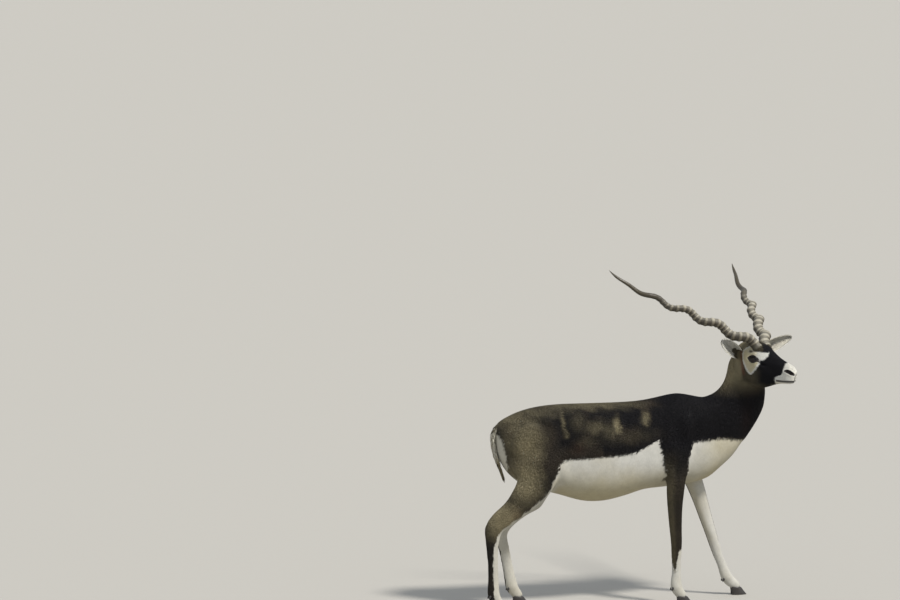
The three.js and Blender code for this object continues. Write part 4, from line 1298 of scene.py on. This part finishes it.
tail = {
    "path": [(-660, 0, 706), (-700, 0, 682), (-709, 0, 630), (-694, 0, 566), (-673, 0, 512)],
    "sizes": [(15, 12, 12), (17, 10, 10), (20, 8, 8), (19, 6, 6), (8, 3, 3)],
    "tipAt": (-662, 0, 474),
    "dockShare": 0.72,  # of the tail's thickness, without the locks
    "locks": 1100,
    "lockReach": 7,  # a lock points at the place that is one part in so many of the tail further on
    "length": (26, 42), "width": (2.2, 3.6), "height": (0.7, 1.1), "lift": (0.6, 2.4),  # of a lock
    "seed": 11,
}
tailSkin = meshFrom("tail", *limbForm(tail["path"], np.array(tail["sizes"], float) * tail["dockShare"]))
tailPoints = pointsOf(tailSkin)


def lineAt(z):  # the tail line's x at a height
    rows = np.array(tail["path"], float)
    return np.interp(z, rows[::-1, 2], rows[::-1, 0])


def tailMarks(points):
    # White underneath, tan at the sides, darker in a band along the upper side and at the tip
    x, y, z = points.T
    behind = lineAt(z) - x
    band = smoothStep(13, 7, np.abs(y)) * smoothStep(0, 4, behind)
    white = smoothStep(13, 7, behind) * smoothStep(550, 600, z)
    tan = mix(1.6, 0.45, np.maximum(band, smoothStep(560, 505, z)))
    return np.stack([white, mix(tan, 0.3, white), 0 * x], -1)


storeColour(tailSkin, "marks", tailMarks(tailPoints))
storeNumber(tailSkin, "bare", np.zeros(len(tailPoints)))
piece("tail_dock", tailSkin, skinMaterial, ["tail"])


# Tufts of the coat: flat closed spindles of six faces, rooted on the skin and lying along it

coat = {
    "seed": 7,
    "perPiece": 32000,  # tufts in one piece
    "patch": 0.003,  # a tuft's size in the unwrap
    # mm between tufts, then length, width, height and lift of the tip
    "trunk": {"spacing": 2.7, "length": 17, "width": 2.7, "height": 0.42, "lift": 1.0},
    "legs": {"spacing": 2.1, "length": 10, "width": 1.9, "height": 0.4, "lift": 0.8},
    "face": {"spacing": 1.55, "length": 6.2, "width": 1.25, "height": 0.28, "lift": 0.5},
    "whiteFlat": 1.0,  # share of the tufts left out where the body is white and the hair lies flat
    "legsFrom": (470, 380),  # heights between which the legs' values take over
    "lowest": 31,  # no tuft is rooted lower, on the hooves
}


def scattered(mesh, spacing, rng):
    # Places spread over the triangles by area over the square of the spacing, with normal and unwrap place
    mesh.calc_loop_triangles()
    corners, loops = (read(mesh.loop_triangles, key, 3, np.int32) for key in ("vertices", "loops"))
    count = len(corners)
    points, normals = pointsOf(mesh), normalsOf(mesh)
    flat = read(mesh.uv_layers["OFBake"].data, "uv", 2)
    a, b, c = (points[corners[:, k]] for k in range(3))
    area = np.linalg.norm(np.cross(b - a, c - a), axis=1) / 2
    wanted = area / spacing((a + b + c) / 3) ** 2
    number = np.floor(wanted + rng.random(count)).astype(int)
    chosen = np.repeat(np.arange(count), number)
    share = rng.dirichlet((1, 1, 1), len(chosen))

    def between(values):
        return (values * share[..., None]).sum(1)

    corners = corners[chosen]
    return between(points[corners]), unit(between(normals[corners])), between(flat[loops[chosen]])


def onSkin(points, skinObject):
    # A bare cloud of points, shrunk onto the nearest place of the skin
    cloud = bpy.data.meshes.new("cloud")
    cloud.vertices.add(len(points))
    movePoints(cloud, points)
    settings = {"target": skinObject, "wrap_method": "NEAREST_SURFACEPOINT"}
    return pointsOf(applied("cloud", cloud, "SHRINKWRAP", **settings))


def tuftPoints(root, normal, lie, length, width, height, lift, skinObject=None):
    # Root, two sides and a ridge at 0.42 of the length, and the tip
    side = np.cross(normal, lie)
    middle = root + lie * (length * 0.42)[:, None]
    tip = root + lie * length[:, None]
    if skinObject:
        middle, tip = np.split(onSkin(np.vstack([middle, tip]), skinObject), 2)
    low = normal * (lift * 0.3)[:, None]
    spread = side * (width / 2)[:, None]
    return np.stack([
        root - normal * 0.5, middle - spread + low, middle + spread + low,
        middle + normal * (height + lift * 0.5)[:, None], tip + normal * lift[:, None]], 1)


tuftFaces = np.array([(0, 2, 1), (1, 2, 4), (0, 1, 3), (0, 3, 2), (1, 4, 3), (3, 4, 2)])
tuftPatch = np.array([(0, -1), (-1, 0), (1, 0), (0, 0.3), (0, 1)]) / 2


def tuftPieces(name, corners, marks, shade, places, material, nodes=()):
    count = math.ceil(len(corners) / coat["perPiece"])
    for k in range(count):
        part = slice(k * coat["perPiece"], (k + 1) * coat["perPiece"])
        own = corners[part]
        faces = (np.arange(len(own))[:, None, None] * own.shape[1] + tuftFaces).reshape(-1, 3)
        mesh = meshFrom(name, own.reshape(-1, 3), [faces])
        rgba = np.concatenate([marks[part], shade[part, None]], 1)
        storeColour(mesh, "marks", np.repeat(rgba, own.shape[1], axis=0))
        flat = mesh.uv_layers.new(name="OFBake")
        patches = places[part, None] + tuftPatch * coat["patch"]
        flat.data.foreach_set("uv", patches.reshape(-1, 2)[faces.ravel()].astype(np.float32).ravel())
        piece("%s_%d" % (name, k + 1), mesh, material, nodes)


def lieOf(points, normals, rng):
    # Hair runs back along the trunk, down the neck and the legs, and from the nose towards the poll
    x, _, z = points.T
    nought = 0 * x

    def towards(forward, up):
        return np.stack([nought + forward, nought, nought + up], -1)

    lie = towards(-1, -0.25 - 0.45 * smoothStep(760, 560, z))
    for direction, share in (
        (towards(-0.45, -1), smoothStep(-40, 120, x)),  # shoulder
        (towards(-0.55, -0.9), smoothStep(-470, -600, x)),  # haunch
        (towards(-0.12, -1), smoothStep(520, 420, z)),  # legs
        (towards(-0.35, -1), smoothStep(720, 800, z) * smoothStep(60, 160, x)),  # neck
    ):
        lie = mix(lie, direction, share[:, None])
    hx, hy, hz = toHead(points).T
    sideways = 0.25 * np.sign(hy) * smoothStep(20, -40, hx)
    headLie = np.stack([nought - 1, sideways, 0.1 - 0.35 * smoothStep(0, -60, hz)], -1)
    lie = mix(lie, headLie @ headAxes, (inHead(points) * smoothStep(-100, -70, hx))[:, None])
    swirl = 0.16 * np.sin(x * 0.031 + 1.7 * np.sin(z * 0.023)) + rng.normal(0, 0.13, len(x))
    lie = unit(lie - normals * (lie * normals).sum(1)[:, None])
    return unit(lie + np.cross(normals, lie) * swirl[:, None])


def coatValue(key, points, face):  # the trunk's, the legs' or the face's value of that name, or between them
    leg = smoothStep(*coat["legsFrom"], points[:, 2])
    return mix(mix(coat["trunk"][key], coat["legs"][key], leg), coat["face"][key], face)


def coatSpacing(points):
    return coatValue("spacing", points, faceShare(points))


def tuftShades(rng, spread, number):
    return np.clip(rng.normal(0.5, spread, number), 0.1, 0.95)


rng = np.random.default_rng(coat["seed"])
skinObject = bpy.data.objects["skin"]
root, normal, place = scattered(body, coatSpacing, rng)
marks = coatMarks(root + rng.normal(0, 1.2, root.shape))
face = faceShare(root)
flat = coat["whiteFlat"] * smoothStep(0.5, 0.85, marks[:, 0]) * (face < 0.5)
keep = (bareness(root) < 0.25) & (root[:, 2] > coat["lowest"]) & (rng.random(len(root)) > flat)
root, normal, place, marks, face = (values[keep] for values in (root, normal, place, marks, face))
nearLips = face * smoothStep(70, 150, toHead(root)[:, 0])
nearHoof = smoothStep(120, 60, root[:, 2])

def size(key):
    value = coatValue(key, root, face) * rng.uniform(0.75, 1.25, len(root))
    return value * mix(1, 0.72, nearLips) * mix(1, 0.7, nearHoof)

lie = lieOf(root, normal, rng)
flatter = mix(1, 0.6, marks[:, 0] * (1 - face))
corners = tuftPoints(root, normal, lie, size("length"), size("width"), size("height") * flatter,
                     size("lift") * flatter, skinObject)
shade = 0.5 + 0.45 * face * marks[:, 0] + rng.normal(0, 0.17, len(root)) * (1 - 0.65 * marks[:, 0])
shade = np.clip(shade, 0.1, 1.1)
order = np.argsort(root[:, 0], kind="stable")
tuftPieces("coat", corners[order], marks[order], shade[order], place[order], tuftMaterial)
print("coat: %d tufts" % len(root))


# Fur of the ears, short outside, long and pale inside; lashes on the upper lids; hair round the horns' feet

earFur = {"seed": 5, "outside": 5200, "inside": 3600, "rim": 900}
lash = {"seed": 3, "number": 90}
hornCollar = {"seed": 5, "tufts": 1500, "rows": 17, "olive": 0.22}  # rows: how many of the horn's it covers


def earTufts(name):
    rng = np.random.default_rng(earFur["seed"])
    number = earFur["outside"] + earFur["inside"] + earFur["rim"]
    inner = np.zeros(number)
    inner[earFur["outside"]:] = 1
    rim = np.arange(number) >= earFur["outside"] + earFur["inside"]
    t = rng.uniform(0.02, 0.985, number)
    u = rng.uniform(-0.97, 0.97, number)
    u = np.where(rim, np.sign(u) * rng.uniform(0.8, 0.99, number), u)
    place = earPlaces[name]
    root = earPoint(place, t, u, inner)
    ahead = unit(earPoint(place, t + 0.01, u, inner) - root)
    sideways = unit(earPoint(place, t, u + 0.01, inner) - root)
    normal = unit(np.cross(sideways, ahead))
    out = root - earPoint(place, t, u, 0.5 + 0 * inner)
    normal = normal * np.sign((normal * out).sum(1) + 1e-9)[:, None]
    inwards = -sideways * np.sign(u)[:, None]
    lie = unit(ahead + inwards * (inner * 0.55)[:, None] + rng.normal(0, 0.14, (number, 3)))
    lie = unit(lie - normal * (lie * normal).sum(1)[:, None])
    atRim, inside, outside = (rng.uniform(*ends, number) for ends in ((9, 15), (7, 11), (4.5, 7)))
    length = np.where(rim, atRim, np.where(inner > 0, inside, outside))
    length = length * mix(1, 0.45, smoothStep(0.75, 1, t))
    width = np.where(inner > 0, 1.0, 1.4) * rng.uniform(0.8, 1.3, number)
    lift = np.where(inner > 0, rng.uniform(0.8, 3.0, number), rng.uniform(0.3, 0.8, number))
    corners = tuftPoints(root, normal, lie, length, width, np.full(number, 0.25), lift)
    speckle = rng.random(number) < 0.01
    white = np.where(inner > 0, 1.0, smoothStep(0.78, 0.92, np.abs(u)))
    # dark at the canal: painted shade in the ear's opening; near the root the ear lies under the head's olive
    # hair
    canalShade = (inner > 0) * smoothStep(0.34, 0.22, t) * smoothStep(0.5, 0.3, np.abs(u))
    canalShadeAndRoot = np.maximum(canalShade, smoothStep(0.18, 0.1, t))
    white = np.where(speckle, 0, white) * (1 - canalShadeAndRoot)
    tone = np.where(inner > 0, 0.0, 0.7) * mix(1, 0.4, smoothStep(0.85, 1, t) * (inner == 0))
    tone = mix(tone, 0.35, canalShadeAndRoot)
    marks = np.stack([white, tone, 0 * t], -1)
    flat = np.stack([0.02 + 0.96 * t, 0.25 + 0.24 * u + 0.5 * inner], -1)
    shade = tuftShades(rng, 0.14, number)
    tuftPieces("ear_fur_" + name, corners, marks, shade, flat, tuftMaterial, ["ear_" + name])


def lashes(name, side):
    rng = np.random.default_rng(lash["seed"])
    number = lash["number"]
    share = rng.uniform(-0.85, 0.95, number)
    out, along, across = eyeAxes(side)
    a = eye["halfLength"] * share + eye["opening"][0]
    c = eye["halfHeight"] * (1 - share**2) + eye["opening"][1] + rng.uniform(-0.3, 0.9, number)
    root = onEyeball(side, a, c, eye["lashHeight"])
    lie = unit(out + across * rng.uniform(0.1, 0.5, number)[:, None] + along * (share * 0.6 + 0.1)[:, None])
    normal = unit(across - lie * (lie @ across)[:, None])
    full = np.ones(number)
    corners = tuftPoints(root, normal, lie, rng.uniform(5, 8.5, number), 0.55 * full, 0.3 * full, 1.2 * full)
    marks = np.zeros((number, 3))
    tuftPieces("lashes_" + name, corners, marks, 0.4 * full, np.full((number, 2), 0.5), tuftMaterial)


def hornHair(name):  # a collar of short hair over the foot of the horn, lying along it
    rng = np.random.default_rng(hornCollar["seed"])
    number, around = hornCollar["tufts"], horn["around"]
    grid = pointsOf(bpy.data.objects["hornSheath_" + name].data)[:-2].reshape(-1, around, 3)
    row = (rng.random(number) ** 1.5 * hornCollar["rows"]).astype(int) + 1
    column = rng.integers(0, around, number)
    root = grid[row, column]
    ahead = grid[row + 4, column] - root
    beside = grid[row, (column + 1) % around] - root
    root = root + beside * rng.random(number)[:, None]
    lie = unit(unit(ahead) + rng.normal(0, 0.12, root.shape))
    normal = unit(np.cross(beside, ahead))
    normal = normal * np.sign((normal * (root - grid[row].mean(1))).sum(1))[:, None]
    corners = tuftPoints(root, normal, lie, rng.uniform(5, 10, number), rng.uniform(1.1, 1.7, number),
                         np.full(number, 0.3), rng.uniform(0.3, 1.6, number))
    marks = np.tile([0, hornCollar["olive"], 0.0], (number, 1))
    shade = tuftShades(rng, 0.17, number)
    places = rng.uniform(0.02, 0.98, (number, 2))
    tuftPieces("horn_hair_" + name, corners, marks, shade, places, tuftMaterial)


for name, side in sides.items():
    earTufts(name)
    lashes(name, side)
    hornHair(name)


# Locks of the tail

rng = np.random.default_rng(tail["seed"])
number = tail["locks"]
share = rng.random(number) ** 0.8
rows = smoothRows(np.hstack([tail["path"], np.array(tail["sizes"], float)]), 12)
at = (share * (len(rows) - 1)).astype(int)
angle = rng.uniform(0, 2 * np.pi, number)
outward = np.stack([-np.cos(angle), np.sin(angle), 0 * angle], -1)
along = unit(np.gradient(rows[:, :3], axis=0))[at]
outward = unit(outward - along * (outward * along).sum(1)[:, None])
half, thick = rows[at, 3:5].T * tail["dockShare"]
reach = 1 / np.sqrt((outward[:, 1] / half) ** 2 + (1 - outward[:, 1] ** 2) / thick**2)
root = rows[at, :3] + outward * (reach * 0.9)[:, None]
ahead = np.minimum(at + len(rows) // tail["lockReach"], len(rows) - 1)  # the row where a lock ends
chord = unit(rows[ahead, :3] - rows[at, :3] + along * 0.001)
lockLie = unit(chord + outward * 0.03 + rng.normal(0, 0.04, along.shape))
toTip = unit(np.array(tail["tipAt"], float) - root)
lockLie = unit(mix(lockLie, toTip + rng.normal(0, 0.05, along.shape), smoothStep(0.6, 1.0, share)[:, None]))
sizes = [rng.uniform(*tail[key], number) for key in ("length", "width", "height", "lift")]
corners = tuftPoints(root, outward, lockLie, *sizes)
tuftPieces("tail_locks", corners, tailMarks(root), tuftShades(rng, 0.17, number), np.full((number, 2), 0.5),
           tuftMaterial)


# Floor, light and camera

studio = {
    "floor": 110,  # half size, metres
    "aim": (-876, 0, 1182),  # the picture's middle, in the animal's frame
    "azimuth": -15, "elevation": 8.5, "distance": 60,
    "pixelsPerMetre": 266.1, "pictureWidth": 900, "sensor": 36,
    "keyFrom": (0.45, -0.62, 1.0), "keyStrength": 3.9, "keyAngle": 9, "keyColour": (1.0, 0.965, 0.91),
    "fillStrength": 0.72, "fillColour": (0.86, 0.92, 1.0, 1),
    "floorColour": (0.37, 0.354, 0.32),
}
edge = studio["floor"]
floorMesh = bpy.data.meshes.new("floor")
floorCorners = [(x, y, 0) for x, y in ((-edge, -edge), (edge, -edge), (edge, edge), (-edge, edge))]
floorMesh.from_pydata(floorCorners, [], [(0, 1, 2, 3)])
floor = newObject("floor", floorMesh)
floorMesh.materials.append(Board("paleFloor", Base_Color=studio["floorColour"], Roughness=0.9).material)


def lookAt(holder, direction):  # the object's -z axis along the direction
    holder.rotation_euler = Vector(direction).to_track_quat("-Z", "Y").to_euler()


sun = bpy.data.lights.new("key", "SUN")
sun.energy = studio["keyStrength"]
sun.angle = math.radians(studio["keyAngle"])
sun.color = studio["keyColour"]
key = newObject("key", sun)
lookAt(key, -np.array(studio["keyFrom"]))

world = bpy.data.worlds.new("studio")
bpy.context.scene.world = world
world.use_nodes = True
background = world.node_tree.nodes["Background"].inputs
background["Color"].default_value = studio["fillColour"]
background["Strength"].default_value = studio["fillStrength"]

a, e = math.radians(studio["azimuth"]), math.radians(studio["elevation"])
back = np.array([math.sin(a) * math.cos(e), -math.cos(a) * math.cos(e), math.sin(e)])
lens = bpy.data.cameras.new("camera")
lens.sensor_width = studio["sensor"]
lens.lens = studio["pixelsPerMetre"] * studio["distance"] * studio["sensor"] / studio["pictureWidth"]
lens.clip_end = 500
camera = newObject("camera", lens)
camera.location = placed(np.array(studio["aim"])) + back * studio["distance"]
lookAt(camera, -back)
bpy.context.scene.camera = camera
bpy.context.scene.view_settings.view_transform = "Standard"
